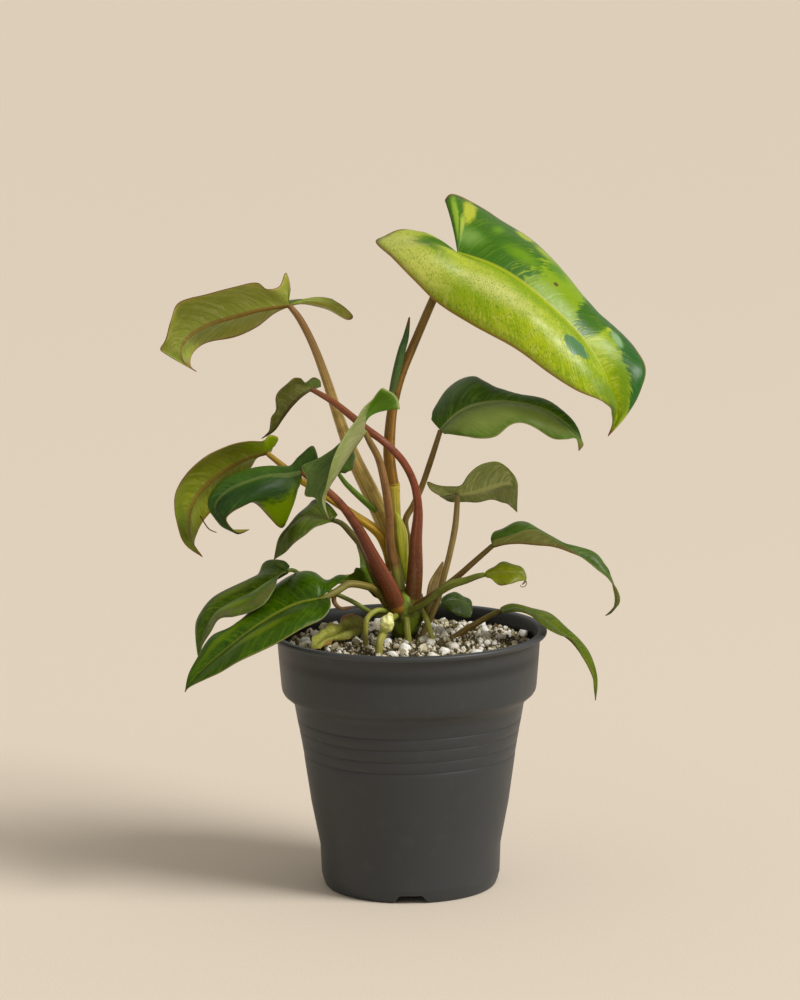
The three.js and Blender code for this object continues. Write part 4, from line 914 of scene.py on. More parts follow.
stalk = [
    (-3.5, 9, 125.5, 2.8), (-7.5, 9, 148, 3.4), (-10.5, 9, 158.5, 3.8), (-16, 9, 171.5, 3.7),
    (-23, 9, 186.5, 3.15), (-29, 10, 203, 2.41), (-34.5, 11, 220.5, 2.02), (-40, 12, 235.5, 1.7),
    (-45.5, 13, 246.5, 1.53), (-50, 13, 252.5, 1.2),
]
grow_leaf(
    "top_left", ("leaf_olive", "stalk_brown"), 13, blade, stalk=stalk,
    upper=dict(
        colours=[(96, 116, 44), (84, 104, 38), (126, 136, 66), (74, 92, 34), (140, 130, 74), (120, 84, 60)],
        gloss=0.4),
    under=dict(
        colours=[(120, 130, 62), (104, 118, 50), (146, 150, 96), (90, 98, 46), (112, 80, 46), (126, 78, 60)],
        gloss=0.5, depth=1.42, stripes=0.35, outer=(134, 136, 68), tip=(122, 84, 56),
        patches=[
            (0.3, -0.5, 0.2, 0.3, (138, 138, 72), 0.5),
        ]),
    bark=dict(
        colours=[(214, 200, 112), (196, 168, 100), (134, 96, 58), (134, 116, 56)],
        gloss=0.4))


# Leaf on the red arch. Its stalk bows over from the crown to the left, dark at its foot and red along its
# length, and its narrow olive blade folds down behind it.
blade = {
    "midrib": [
        (-40.5, -4, 218.5), (-44.5, -5, 216.5), (-49, -4, 212), (-53.5, -2, 206), (-57, 0, 200.5),
        (-62.5, 2, 196.5),
    ],
    "left": [
        (0, -45, -8, 223.5, 1), (0.05, -48, -9.5, 224, 2), (0.2, -51.5, -12.5, 222, 3),
        (0.4, -55, -12.5, 217, 3), (0.6, -55.5, -9, 210.5, 2), (0.78, -58, -4, 205.5, 1),
        (0.9, -59, -1, 200, 0),
    ],
    "right": [
        (0, -36.5, 1, 219, 0), (0, -37, 3, 221.5, -1), (0, -40, 4, 222.5, -1), (0, -43, 2, 220.5, 0),
        (0.1, -47.5, 3.5, 220.5, 1), (0.25, -52, 4.5, 217, 2), (0.45, -54.5, 5, 211.5, 2),
        (0.65, -55.5, 4.5, 206.5, 1), (0.85, -58, 3.5, 201, 0),
    ],
}
stalk = [
    (2, -7, 128, 3.6), (3, -8, 140, 3.4), (3.5, -9, 153.5, 2.7), (4.5, -10, 166.5, 2.03), (3, -11, 178, 1.7),
    (-2, -12, 188.5, 1.64), (-10, -13, 197, 1.61), (-17.5, -12, 202.5, 1.71), (-23.5, -10, 207.5, 1.6),
    (-31.5, -7, 213.5, 1.4), (-40.5, -4, 218.5, 1.1),
]
grow_leaf(
    "red_arch", ("leaf_olive", "stalk_red"), 12, blade, stalk=stalk,
    upper=dict(
        colours=[(84, 100, 48), (74, 90, 42), (110, 122, 66), (64, 80, 34), (100, 86, 50), (110, 84, 60)],
        gloss=0.4),
    under=dict(
        colours=[(98, 104, 50), (88, 94, 44), (132, 134, 86), (76, 82, 38), (72, 60, 36), (110, 84, 60)],
        gloss=0.48, depth=1.05, outer=(124, 128, 78)),
    bark=dict(
        colours=[(92, 62, 28), (134, 70, 48), (138, 84, 54), (84, 46, 28)],
        gloss=0.34, bend=0.45, base=((122, 112, 46), 0.05)))


# High leaf at the left, seen from below: yellow-olive, its long tip curling under. Its yellow-brown stalk
# comes forward from the sheath, and a brown thread hangs at its edge.
blade = {
    "midrib": [
        (-60, -4, 191.5), (-67.5, -5, 189.5), (-75, -6, 186), (-82.5, -8, 181), (-88.5, -10, 175.5),
        (-92.5, -12, 169), (-93.5, -13, 161.5), (-92.5, -14, 154.5), (-88, -15, 148),
    ],
    "left": [
        (0, -56.5, -6, 194.5, 0), (0, -55, -8, 198, 0), (0, -58.5, -9, 199.5, 0), (0.02, -61.5, -13, 198, 1),
        (0.08, -67, -15.5, 198.5, 2), (0.2, -75, -20.5, 197, 3), (0.35, -84.5, -25.5, 193, 4),
        (0.5, -92, -26.5, 187.5, 4), (0.65, -97.5, -27, 179.5, 3), (0.78, -99, -22, 170.5, 3),
        (0.88, -98, -19, 160.5, 2), (0.95, -95, -14.5, 153, 1),
    ],
    "right": [
        (0, -58, 4, 192.5, 0), (0, -59.5, 8, 189.5, 1), (0.02, -64.5, 8, 187, 2), (0.12, -67, 10, 183, 2),
        (0.25, -71, 10, 179, 3), (0.4, -76.5, 8, 173, 3), (0.55, -83, 3.5, 166.5, 3),
        (0.7, -88, -1.5, 161.5, 2), (0.82, -90.5, -6.5, 156.5, 1), (0.92, -91.5, -10.5, 152, 0),
    ],
}
stalk = [
    (-8.5, 0, 141, 1.2), (-9.5, 0, 149, 2.2), (-13.5, -3, 156.5, 2.16), (-24, -7, 165, 1.78),
    (-36, -8, 173.5, 1.61), (-46, -8, 180, 1.5), (-53, -6, 185.5, 1.38), (-60, -4, 191, 1.1),
]
grow_leaf(
    "left_high", ("leaf_olive", "stalk_yellow"), 13, blade, stalk=stalk,
    upper=dict(
        colours=[(98, 116, 38), (88, 104, 34), (126, 138, 56), (74, 90, 28), (130, 120, 60), (150, 110, 60)],
        gloss=0.38),
    under=dict(
        colours=[(118, 128, 52), (104, 116, 44), (138, 148, 74), (88, 94, 38), (110, 84, 46),
                 (150, 110, 60)],
        gloss=0.45, depth=1.25, vein_share=0.35, outer=(104, 104, 34), tip=(142, 92, 60),
        patches=[
            (0.1, 0.6, 0.12, 0.5, (130, 158, 48), 0.4), (0.1, -0.6, 0.12, 0.5, (120, 146, 48), 0.4),
            (0.8, 0.4, 0.15, 0.5, (96, 112, 48), 0.9),
        ]),
    bark=dict(
        colours=[(196, 160, 62), (196, 160, 58), (170, 138, 56), (146, 112, 44)],
        gloss=0.4))


# Front leaf at the left, seen from above: blue-green and shiny with a thin pinkish margin and a
# yellow-green lobe that hangs down behind. Its dark red stalk comes straight at the viewer.
blade = {
    "midrib": [
        (-45, -25, 186.5), (-51, -27, 185.5), (-59, -29, 185), (-66.5, -31, 183), (-73.5, -33, 180.5),
        (-79.5, -35, 176), (-80.5, -36, 171), (-77, -36, 165.5), (-72, -35, 161.5), (-67, -33, 163),
    ],
    "left": [
        (0, -45, -23, 182, 0), (0, -48.5, -21, 174.5, 1), (0, -53, -19, 161.5, 2), (0, -58.5, -23, 166, 5),
        (0.04, -64, -29, 173, 6), (0.15, -66.5, -36, 175.5, 3), (0.3, -70.5, -39, 173.5, 2),
        (0.45, -74, -40, 171.5, 2), (0.58, -76.5, -40, 169, 2), (0.72, -76, -38, 166.5, 1),
        (0.88, -72, -36, 162.5, 0),
    ],
    "right": [
        (0, -37.5, -25, 191, 0), (0, -40, -22, 197, 0), (0, -45.5, -20, 192, 1), (0.03, -51, -17, 186.5, 2),
        (0.15, -62, -17, 185.5, 3), (0.3, -71.5, -18, 182.5, 4), (0.45, -78.5, -21, 179.5, 4),
        (0.6, -83.5, -26, 174.5, 3), (0.74, -82, -32, 170.5, 2), (0.88, -77.5, -34.5, 164, 0),
    ],
}
stalk = [
    (-5, -10, 126, 3.8), (-8.5, -12, 134.5, 3.5), (-15, -15, 147.5, 2.85), (-21, -18, 160, 2.2),
    (-28, -21, 171, 1.76), (-35, -23, 178.5, 1.51), (-40.5, -24, 182.5, 1.35), (-45, -25, 186, 1.1),
]
grow_leaf(
    "left_front", ("leaf_dark", "stalk_red"), 14, blade, stalk=stalk,
    upper=dict(
        colours=[(60, 94, 40), (44, 72, 34), (86, 114, 66), (88, 116, 62), (116, 134, 78), (168, 120, 92)],
        gloss=0.44, shine=0.12, depth=0.74, vein_share=0.2, stripes=0.45, tip=(124, 70, 46),
        patches=[
            (0.66, 0.5, 0.14, 0.26, (44, 72, 36), 0.8), (0.5, -0.6, 0.4, 0.35, (84, 116, 52), 0.9),
            (0.45, 0.2, 0.1, 0.12, (96, 122, 66), 0.9), (0.2, 0.8, 0.34, 0.62, (140, 176, 50), 0.25),
        ]),
    under=dict(
        colours=[(130, 146, 52), (116, 134, 48), (150, 162, 76), (98, 116, 40), (140, 120, 66),
                 (170, 120, 90)],
        gloss=0.5),
    bark=dict(
        colours=[(116, 64, 40), (108, 54, 36), (140, 82, 46), (74, 46, 26)],
        gloss=0.36, base=((150, 112, 52), 0.07)))


# Folded leaf in the centre. It is folded along its midrib like a book: the near half shows its pale
# underside, a bright green lobe curls over at the top, and the far half is dark green above.
blade = {
    "midrib": [
        (-18, -27, 204), (-22, -29, 198), (-26.5, -31, 191.5), (-30.5, -34, 186), (-34, -37, 180.5),
        (-35, -39, 174), (-33, -40, 168),
    ],
    "left": [
        (0, -3, -24, 212.5, 5.5), (0, -3.5, -23, 216, 5), (0, -5.5, -23, 219, 4.5), (0, -8.5, -24, 221, 3),
        (0, -11, -26, 222, 2), (0, -14.5, -29, 217.5, 1), (0, -18, -32, 214, 0), (0.02, -21, -34, 210, 0),
        (0.12, -26.5, -38, 203.5, -1), (0.3, -30, -42, 197, -2), (0.5, -32.5, -44, 190, -2),
        (0.7, -34.5, -43, 183, -1), (0.86, -36, -41, 176.5, 0),
    ],
    "right": [
        (0, -20, -23, 206, 0), (0, -25, -26, 201, 0), (0.05, -30, -29, 197.5, 0), (0.15, -37, -30, 193, 0),
        (0.25, -44.5, -30, 189.5, 0), (0.4, -42.5, -31, 184, 0), (0.55, -43.5, -33, 177.5, 0),
        (0.65, -39, -35, 176.5, 0), (0.8, -37, -37.5, 173, 0), (0.92, -35, -39.5, 170, 0),
    ],
}
stalk = [
    (-3.5, -4, 130.5, 2.6), (-5, -5, 139.5, 2.39), (-7.5, -5, 150.5, 2.1), (-8, -8, 165, 1.89),
    (-9.5, -13, 178, 1.76), (-12, -18, 190, 1.58), (-15.5, -23, 198, 1.42), (-18, -26, 203.5, 1.1),
]
grow_leaf(
    "centre_folded", ("leaf_pale", "stalk_brown"), 14, blade, stalk=stalk,
    upper=dict(
        colours=[(82, 104, 54), (70, 92, 46), (104, 124, 72), (66, 86, 40), (130, 140, 84), (120, 130, 84)],
        gloss=0.38, depth=1.25, tip=(120, 92, 60)),
    under=dict(
        colours=[(142, 148, 104), (130, 138, 94), (160, 166, 122), (116, 128, 80), (156, 160, 110),
                 (160, 166, 116)],
        gloss=0.5, depth=0.95, outer=(118, 136, 70), tip=(120, 92, 60),
        patches=[
            (0.13, 0.5, 0.17, 1.0, (76, 114, 26), 0.25),
        ]),
    bark=dict(
        colours=[(158, 120, 66), (146, 104, 66), (134, 112, 64), (110, 82, 48)],
        gloss=0.4, base=((156, 160, 76), 0.2)))


# Small inner leaf behind the folded one. It is young, dark green, and held upright on a thin green stalk
# that grows from the crown.
blade = {
    "midrib": [
        (-29.5, -10, 183.5), (-27.5, -10, 188.5), (-25.5, -8, 193.5), (-24, -6, 197.5),
    ],
    "left": [
        (0, -31.5, -12, 184.5, 0), (0.1, -32, -14, 188, 1), (0.45, -31, -13, 192.5, 1),
        (0.8, -27, -9, 196, 0),
    ],
    "right": [
        (0, -26.5, -8, 182.5, 0), (0.1, -23, -6, 185, 1), (0.45, -22.5, -4, 189.5, 1), (0.8, -23, -4, 194, 0),
    ],
}
stalk = [
    (-15.5, 4, 165.5, 1.4), (-22, -1, 172.5, 1.3), (-26.5, -6, 178, 1.1), (-29.5, -10, 183, 0.9),
]
grow_leaf(
    "inner_small", ("leaf_dark", "stalk_green"), 8, blade, stalk=stalk, rib=0.6,
    upper=dict(
        colours=[(72, 104, 44), (60, 90, 36), (104, 132, 64), (52, 80, 30), (126, 140, 70), (110, 120, 70)],
        gloss=0.38),
    under=dict(
        colours=[(104, 128, 62), (92, 116, 54), (130, 148, 82), (80, 104, 44), (136, 140, 80),
                 (110, 120, 70)],
        gloss=0.5),
    bark=dict(
        colours=[(112, 140, 50), (104, 136, 48), (96, 128, 48), (80, 108, 36)],
        gloss=0.4))


# Inner leaf at the left. It is dark green and hangs below the front leaf on a short brown stalk that grows
# from the crown.
blade = {
    "midrib": [
        (-32, -15, 163.5), (-38.5, -17, 165), (-44.5, -19, 165.5), (-49.5, -21, 162), (-53, -23, 157.5),
        (-56, -24, 152.5), (-57, -25, 148.5),
    ],
    "left": [
        (0, -31.5, -17, 163, 0), (0.05, -35, -23, 163.5, 1), (0.2, -40.5, -29, 162, 1),
        (0.35, -45, -31, 159, 2), (0.5, -48.5, -31, 156, 2), (0.7, -52, -29, 152.5, 1),
        (0.85, -55, -27, 150, 0),
    ],
    "right": [
        (0, -30, -12, 165.5, 0), (0, -32, -8, 167.5, 0), (0.05, -36.5, -5, 170, 1),
        (0.15, -40.5, -4, 170.5, 1), (0.25, -43.5, -6, 167.5, 2), (0.4, -46.5, -10, 163.5, 2),
        (0.55, -51, -15, 160.5, 1), (0.7, -54.5, -19, 156.5, 1), (0.85, -56.5, -23, 152, 0),
    ],
}
stalk = [
    (-10.5, -3.5, 128, 1.7), (-15.5, -8, 139.5, 1.6), (-19.5, -10, 150.5, 1.6), (-25, -12, 158, 1.4),
    (-28.5, -14, 162, 1.2), (-32, -15, 163.5, 1),
]
grow_leaf(
    "left_inner", ("leaf_dark", "stalk_brown"), 12, blade, stalk=stalk,
    upper=dict(
        colours=[(72, 90, 34), (58, 76, 28), (110, 120, 60), (48, 60, 20), (110, 112, 60), (104, 100, 60)],
        gloss=0.38, depth=1.0),
    under=dict(
        colours=[(92, 102, 44), (80, 90, 38), (118, 124, 62), (70, 80, 30), (104, 84, 48), (104, 100, 60)],
        gloss=0.5, depth=1.2),
    bark=dict(
        colours=[(120, 100, 52), (104, 96, 46), (88, 88, 38), (76, 66, 34)],
        gloss=0.45))


# Lower left leaf at the back. It is mid green with lime marbling and a grey margin that is a painted sheen
# where it curls, and lies behind the front one on a green stalk.
blade = {
    "midrib": [
        (-52, -10, 140.5), (-58.5, -12, 137), (-67, -13, 131.5), (-76, -14, 127), (-83.5, -15, 122),
        (-88.5, -16, 115.5), (-90.5, -17, 108.5), (-90, -17, 103.5),
    ],
    "left": [
        (0, -52.5, -13, 140.5, 0), (0, -55.5, -18, 139.5, 1), (0.05, -57.5, -26, 135.5, 2),
        (0.15, -60.5, -30, 130.5, 3), (0.3, -66, -31, 127.5, 3), (0.45, -74.5, -30, 125, 3),
        (0.6, -80.5, -26, 123, 2), (0.72, -85, -22, 116.5, 1), (0.85, -88.5, -19, 110, 0),
    ],
    "right": [
        (0, -51, -7, 142.5, 0), (0, -53.5, -3, 144, 0), (0, -59, 1, 143.5, 1), (0, -62.5, 3, 141.5, 1),
        (0.05, -65, 3, 137, 2), (0.18, -71, 3, 132.5, 3), (0.35, -80, 1, 129, 3), (0.5, -87, -3, 125.5, 3),
        (0.65, -91, -8, 119.5, 2), (0.8, -91.5, -13, 112.5, 1), (0.92, -91, -16, 106.5, 0),
    ],
}
stalk = [
    (-9, -7, 120, 1.3), (-16.5, -10, 122.5, 1.1), (-24, -12.5, 127.5, 1), (-32, -13, 131.5, 1),
    (-42, -11, 136, 1), (-49, -8.5, 140.5, 0.9), (-52, -10, 140.5, 0.8),
]
grow_leaf(
    "lower_left_back", ("leaf_green", "stalk_green"), 13, blade, stalk=stalk,
    upper=dict(
        # The margin colour here is a painted grey sheen where the blade curls.
        colours=[(60, 98, 26), (42, 74, 20), (112, 144, 54), (56, 80, 20), (120, 140, 62), (132, 132, 98)],
        gloss=0.36, shine=0.18, depth=0.72, stripes=0.25, flecks=((142, 166, 66), 0.75, 0),
        patches=[
            (0.6, 0.6, 0.14, 0.12, (128, 152, 60), 0.7), (0.35, 0.3, 0.08, 0.12, (136, 158, 66), 0.7),
            # The two grey patches near the margin, at (0.3, 0.8) and (0.7, 0.85), are painted sheen where the
            # blade curls.
            (0.3, 0.8, 0.14, 0.14, (110, 108, 74), 0.7), (0.5, -0.4, 0.14, 0.12, (122, 146, 58), 0.8),
            (0.7, 0.85, 0.2, 0.12, (120, 122, 86), 0.8),
        ]),
    under=dict(
        colours=[(110, 128, 66), (98, 116, 58), (134, 148, 86), (84, 102, 46), (136, 138, 84),
                 (130, 130, 94)],
        gloss=0.5),
    bark=dict(
        colours=[(126, 134, 58), (116, 130, 54), (104, 122, 48), (88, 96, 42)]))


# Lower left leaf at the front. It is large, deep green and shiny, with a pale midrib, and hangs over the
# rim. A dried brown stub of an old bract curls under its stalk.
blade = {
    "midrib": [
        (-38.5, -30, 132), (-46, -31, 130.5), (-54.5, -33, 127), (-64, -35, 121.5), (-72.5, -37, 115.5),
        (-80, -39, 110), (-87.5, -41, 104), (-93.5, -43, 98), (-95, -43, 95),
    ],
    "left": [
        (0, -33, -35, 133.5, 0), (0, -33, -40, 130, 1), (0, -36.5, -44, 126.5, 1), (0.05, -44, -48, 123.5, 2),
        (0.18, -52.5, -51, 119, 3), (0.32, -62, -52, 114.5, 3), (0.46, -71, -52, 110, 3),
        (0.6, -79.5, -50, 105, 2), (0.75, -86.5, -48, 101.5, 1), (0.9, -93, -45, 97.5, 0),
    ],
    "right": [
        (0, -25.5, -25, 141.5, 0), (0, -30, -21, 141, 1), (0, -35, -20, 138.5, 2), (0, -40.5, -17, 141, 3),
        (0.05, -46.5, -15, 141, 3), (0.15, -54, -6, 136.5, 3), (0.28, -62.5, -12, 130, 3),
        (0.42, -69.5, -20, 123, 3), (0.55, -75.5, -25, 120, 3), (0.68, -83.5, -31, 117, 2),
        (0.8, -89, -36, 109.5, 1), (0.92, -93.5, -41, 102.5, 0),
    ],
}
stalk = [
    (-9, -6, 124, 1.6), (-13.5, -11, 131.5, 1.6), (-18, -17, 135, 1.6), (-25, -22, 137, 1.6),
    (-30, -26, 135, 1.5), (-34.5, -29, 133, 1.3), (-38.5, -30, 131.5, 1),
]
grow_leaf(
    "lower_left_front", ("leaf_green", "stalk_brown"), 14, blade, stalk=stalk, rib=1.2,
    upper=dict(
        colours=[(60, 96, 22), (40, 74, 18), (94, 126, 44), (102, 128, 46), (142, 152, 74), (146, 148, 90)],
        gloss=0.32, shine=0.2, depth=0.74, vein_share=0.32, stripes=0.35, flecks=((112, 140, 48), 0.35, 0),
        patches=[
            (0.4, 0.4, 0.1, 0.25, (44, 74, 20), 0.7), (0.35, -0.5, 0.12, 0.2, (48, 78, 22), 0.8),
            (0.55, 0.5, 0.16, 0.1, (112, 134, 52), 0.7), (0.7, -0.5, 0.16, 0.12, (100, 126, 46), 0.7),
        ]),
    under=dict(
        colours=[(106, 126, 62), (94, 114, 54), (130, 146, 84), (82, 100, 44), (138, 136, 80),
                 (146, 148, 90)],
        gloss=0.5),
    bark=dict(
        colours=[(130, 118, 54), (122, 112, 50), (116, 116, 50), (92, 80, 40)]))


# High leaf at the right, seen from above: deep green with a pale margin, and a lighter grey-green band over
# its lower half that is a painted broad highlight. Its brown stalk stands up from the crown.
blade = {
    "midrib": [
        (14.5, 4, 199), (21, 3, 205.5), (28, 1, 209.5), (36.5, -1, 211.5), (45, -2, 211.5), (53.5, -3, 210),
        (61.5, -4, 207), (68, -5, 202.5), (73.5, -6, 197), (75.5, -7, 194), (73.5, -8, 191.5),
    ],
    "left": [
        (0, 10.5, 9, 203, 0), (0, 12, 15, 206.5, 1), (0.02, 16.5, 21, 213.5, 2), (0.1, 22.5, 23, 218, 3),
        (0.2, 29.5, 19.5, 220, 4), (0.27, 33.5, 18.5, 218, 4), (0.36, 38.5, 17, 214, 4),
        (0.5, 48, 12.5, 211.5, 3), (0.65, 60, 9.5, 209.5, 3), (0.8, 68.5, 2, 206, 2), (0.9, 73, -3, 199.5, 1),
    ],
    "right": [
        (0, 16, 0, 198, 0), (0, 18.5, -4, 198.5, 1), (0.05, 24.5, -10.5, 198.5, 2), (0.15, 31, -13.5, 198, 3),
        (0.28, 38, -14, 199, 3), (0.4, 44, -13.5, 203.5, 3), (0.5, 49, -13.5, 204.5, 2),
        (0.6, 54.5, -13, 202.5, 2), (0.7, 62, -12, 197.5, 2), (0.8, 68, -12, 197, 1),
        (0.9, 72.5, -10, 197, 0),
    ],
}
stalk = [
    (0.5, 5, 127.5, 1.8), (1, 6, 137.5, 1.62), (0.5, 6, 148.5, 1.44), (-1, 6, 159, 1.4), (2.5, 6, 166, 1.4),
    (6, 6, 173.5, 1.31), (10, 5, 185, 1.32), (14.5, 4, 199, 1.1),
]
grow_leaf(
    "right_high", ("leaf_dark", "stalk_brown"), 14, blade, stalk=stalk,
    upper=dict(
        colours=[(62, 100, 22), (46, 82, 14), (104, 134, 62), (128, 148, 88), (150, 165, 110),
                 (152, 158, 104)],
        gloss=0.4, depth=1.05, vein_share=0.25, tip=(120, 100, 60),
        patches=[
            # The broad lighter grey-green patch on the right half is a painted highlight.
            (0.5, -0.5, 0.45, 0.42, (128, 146, 82), 0.7),
        ]),
    under=dict(
        colours=[(112, 128, 74), (100, 116, 64), (136, 148, 92), (86, 102, 50), (150, 152, 100),
                 (152, 158, 104)],
        gloss=0.5),
    bark=dict(
        colours=[(128, 112, 56), (140, 116, 62), (128, 104, 56), (94, 78, 38)]))


# Middle leaf at the right, seen from below: dull olive with a pale midrib and a bright green edge where it
# turns. Its stalk rises beside the papery sheath.
blade = {
    "midrib": [
        (21.5, -8, 173.5), (28, -10, 174), (35, -12, 176), (41, -13, 178), (44.5, -13, 178),
        (45.5, -11, 174.5), (45.5, -9, 169.5), (47, -8, 165),
    ],
    "left": [
        (0, 14, 2, 170, 0), (0, 17.5, 5, 168, 1), (0.05, 22, 6, 167.5, 2), (0.2, 29, 6, 167, 2),
        (0.35, 35.5, 4, 168.5, 2), (0.5, 40, 1, 168, 2), (0.65, 43, -3, 168, 1), (0.8, 44.5, -6, 167, 0),
    ],
    "right": [
        (0, 14.5, -7, 172, 0), (0, 10, -7, 175, 0), (0, 8.5, -8, 178.5, 0), (0, 12.5, -12, 177.5, 0),
        (0, 18, -15, 177.5, 1), (0.05, 23, -19, 179, 1), (0.15, 26.5, -23, 184.5, 2),
        (0.3, 32, -25, 188.5, 3), (0.45, 38, -25, 190, 3), (0.6, 42.5, -22, 187, 2),
        (0.75, 46.5, -16.5, 180.5, 0), (0.85, 47, -14, 175.5, 0), (0.93, 47, -11, 169.5, 0),
    ],
}
stalk = [
    (4.5, -6, 108.5, 1.2), (8.5, -7, 117, 1.3), (12, -8, 125, 1.33), (15, -9, 136, 1.36),
    (18, -9, 147.5, 1.33), (20.5, -9, 160, 1.36), (21.5, -8, 173, 1.1),
]
grow_leaf(
    "right_middle", ("leaf_olive", "stalk_brown"), 11, blade, stalk=stalk,
    upper=dict(
        colours=[(92, 112, 36), (80, 98, 32), (120, 134, 56), (70, 88, 28), (130, 136, 70), (120, 124, 60)],
        gloss=0.38),
    under=dict(
        colours=[(118, 128, 80), (104, 116, 70), (156, 160, 116), (88, 96, 58), (150, 155, 105),
                 (98, 114, 36)],
        gloss=0.48, depth=1.6, vein_share=0.35,
        patches=[
            (0.12, 0.5, 0.14, 0.8, (84, 94, 54), 0.4),
        ]),
    bark=dict(
        colours=[(160, 142, 84), (150, 128, 78), (140, 122, 76), (104, 88, 54)],
        gloss=0.45))


# Long leaf at the right. It arches out narrow and hangs at its tip, green above and olive below, on a brown
# stalk from the crown.
blade = {
    "midrib": [
        (36, -22, 153), (41.5, -23, 154.5), (47.5, -24, 155), (54.5, -25, 154.5), (61.5, -26, 154),
        (68, -27, 152), (75, -28, 148.5), (80.5, -29, 144.5), (85, -29, 141), (88, -29, 135.5),
        (89, -28, 130), (87, -27, 125), (84, -26, 123),
    ],
    "left": [
        (0, 35.5, -18, 155.5, 0), (0, 37, -15, 157.5, 1), (0.05, 40.5, -12, 158.5, 2),
        (0.12, 46, -11, 161.5, 2), (0.2, 51, -12, 161.5, 2), (0.28, 56, -14, 158.5, 2),
        (0.38, 60.5, -18, 156.5, 1), (0.47, 65.5, -22, 154.5, 1), (0.56, 72, -23, 153, 1),
        (0.65, 78.5, -24, 150.5, 1), (0.74, 83, -26, 146.5, 0), (0.8, 86, -28, 141.5, 0),
        (0.88, 87.5, -27, 135, 0), (0.95, 88, -26, 128, 0),
    ],
    "right": [
        (0, 36, -25, 155.5, 0), (0, 38.5, -28, 157.5, 0), (0.08, 43.5, -31, 159, 1), (0.2, 49.5, -32, 161, 1),
        (0.3, 55, -31, 161, 1), (0.42, 61, -29, 157.5, 1), (0.5, 65.5, -29, 154.5, 0),
        (0.6, 73, -31, 149.5, 0), (0.7, 80.5, -32, 144.5, 0), (0.78, 85, -31, 140.5, 0),
        (0.86, 88.5, -31, 135, 0), (0.94, 89.5, -30, 129, 0),
    ],
}
stalk = [
    (0.5, -8, 122.5, 1.6), (7, -12.5, 127.5, 1.66), (13.5, -15, 132.5, 1.53), (20.5, -18, 138.5, 1.36),
    (28.5, -20, 146, 1.23), (36, -22, 153, 1.1),
]
grow_leaf(
    "right_long", ("leaf_green", "stalk_brown"), 15, blade, stalk=stalk,
    upper=dict(
        colours=[(76, 104, 44), (62, 88, 35), (100, 126, 66), (60, 84, 34), (120, 136, 70), (126, 126, 74)],
        gloss=0.36, outer=(86, 112, 52)),
    under=dict(
        colours=[(108, 116, 68), (96, 104, 60), (134, 140, 92), (84, 94, 50), (116, 100, 66),
                 (126, 126, 74)],
        gloss=0.5, depth=1.5),
    bark=dict(
        colours=[(122, 84, 50), (112, 84, 42), (110, 92, 46), (80, 62, 34)]))


# Twisted leaf at the right. It is small and yellow-green, turned on its side, and ends in a tiny curled
# thread. Its green stalk leans out from the crown.
blade = {
    "midrib": [
        (32.5, -27, 141.5), (37, -27, 142), (42.5, -28, 142.5), (47.5, -28, 141.5), (50, -28, 139),
        (48.5, -27, 137),
    ],
    "left": [
        (0, 33, -25, 142, 0), (0.08, 36, -23, 144, 0), (0.25, 40, -21, 145.5, 1), (0.5, 45, -21, 145, 1),
        (0.7, 49, -24, 143, 1), (0.85, 50.5, -27, 140.5, 0),
    ],
    "right": [
        (0, 33, -29, 141, 0), (0.08, 34.5, -31, 141, 0), (0.22, 38, -34, 138.5, 1), (0.45, 42, -35, 138.5, 1),
        (0.65, 46.5, -33, 139.5, 1), (0.85, 49.5, -29, 139, 0),
    ],
}
stalk = [
    (1.5, -12, 123.5, 1.2), (8, -17.5, 128, 1.3), (13.5, -20, 133, 1.7), (18.5, -22, 136.5, 1.9),
    (24.5, -24, 138.5, 1.5), (29, -26, 140.5, 1.3), (32.5, -27, 141.5, 1),
]
grow_leaf(
    "right_twisted", ("leaf_yellow_green", "stalk_green"), 11, blade, stalk=stalk,
    upper=dict(
        colours=[(116, 128, 38), (106, 116, 34), (142, 152, 62), (92, 106, 30), (146, 148, 72),
                 (130, 124, 66)],
        gloss=0.38),
    under=dict(
        colours=[(122, 130, 54), (110, 120, 46), (146, 152, 76), (94, 104, 38), (146, 140, 76),
                 (130, 124, 66)],
        gloss=0.48),
    bark=dict(
        colours=[(122, 130, 56), (114, 124, 50), (112, 124, 46), (88, 92, 38)]))


# Hanging leaf at the right. It leaves the pot over the rim and hangs down outside it, narrow and
# yellow-green, on a brown stalk that lies low over the mix.
blade = {
    "midrib": [
        (39.5, -3, 121), (46, -4, 122), (52.5, -5, 120.5), (59, -6, 117.5), (64.5, -7, 113),
        (70.5, -8, 108.5), (75, -9, 102.5), (78.5, -10, 96), (80.5, -10, 89.5), (80.5, -10, 82.5),
    ],
    "left": [
        (0, 40, 0, 121.5, 0), (0.1, 44.5, 3, 122.5, 1), (0.25, 53, 5, 120.5, 1), (0.4, 61, 5, 118, 1),
        (0.52, 68.5, 2, 112.5, 1), (0.65, 74.5, -1, 107, 1), (0.78, 79.5, -5, 99.5, 0),
        (0.9, 81.5, -8, 92.5, 0),
    ],
    "right": [
        (0, 40.5, -6, 121, 0), (0.1, 46, -11, 122, 1), (0.25, 52.5, -14, 120.5, 1), (0.4, 59, -16, 116, 1),
        (0.52, 65, -16, 112.5, 1), (0.62, 70, -14, 110, 1), (0.75, 74.5, -13, 103, 0), (0.88, 79, -12, 93, 0),
    ],
}
stalk = [
    (17, 0, 107, 1.4), (24.5, 0, 112, 1.4), (31, -1, 116, 1.3), (36, -2, 119, 1.2), (39.5, -3, 121, 1),
]
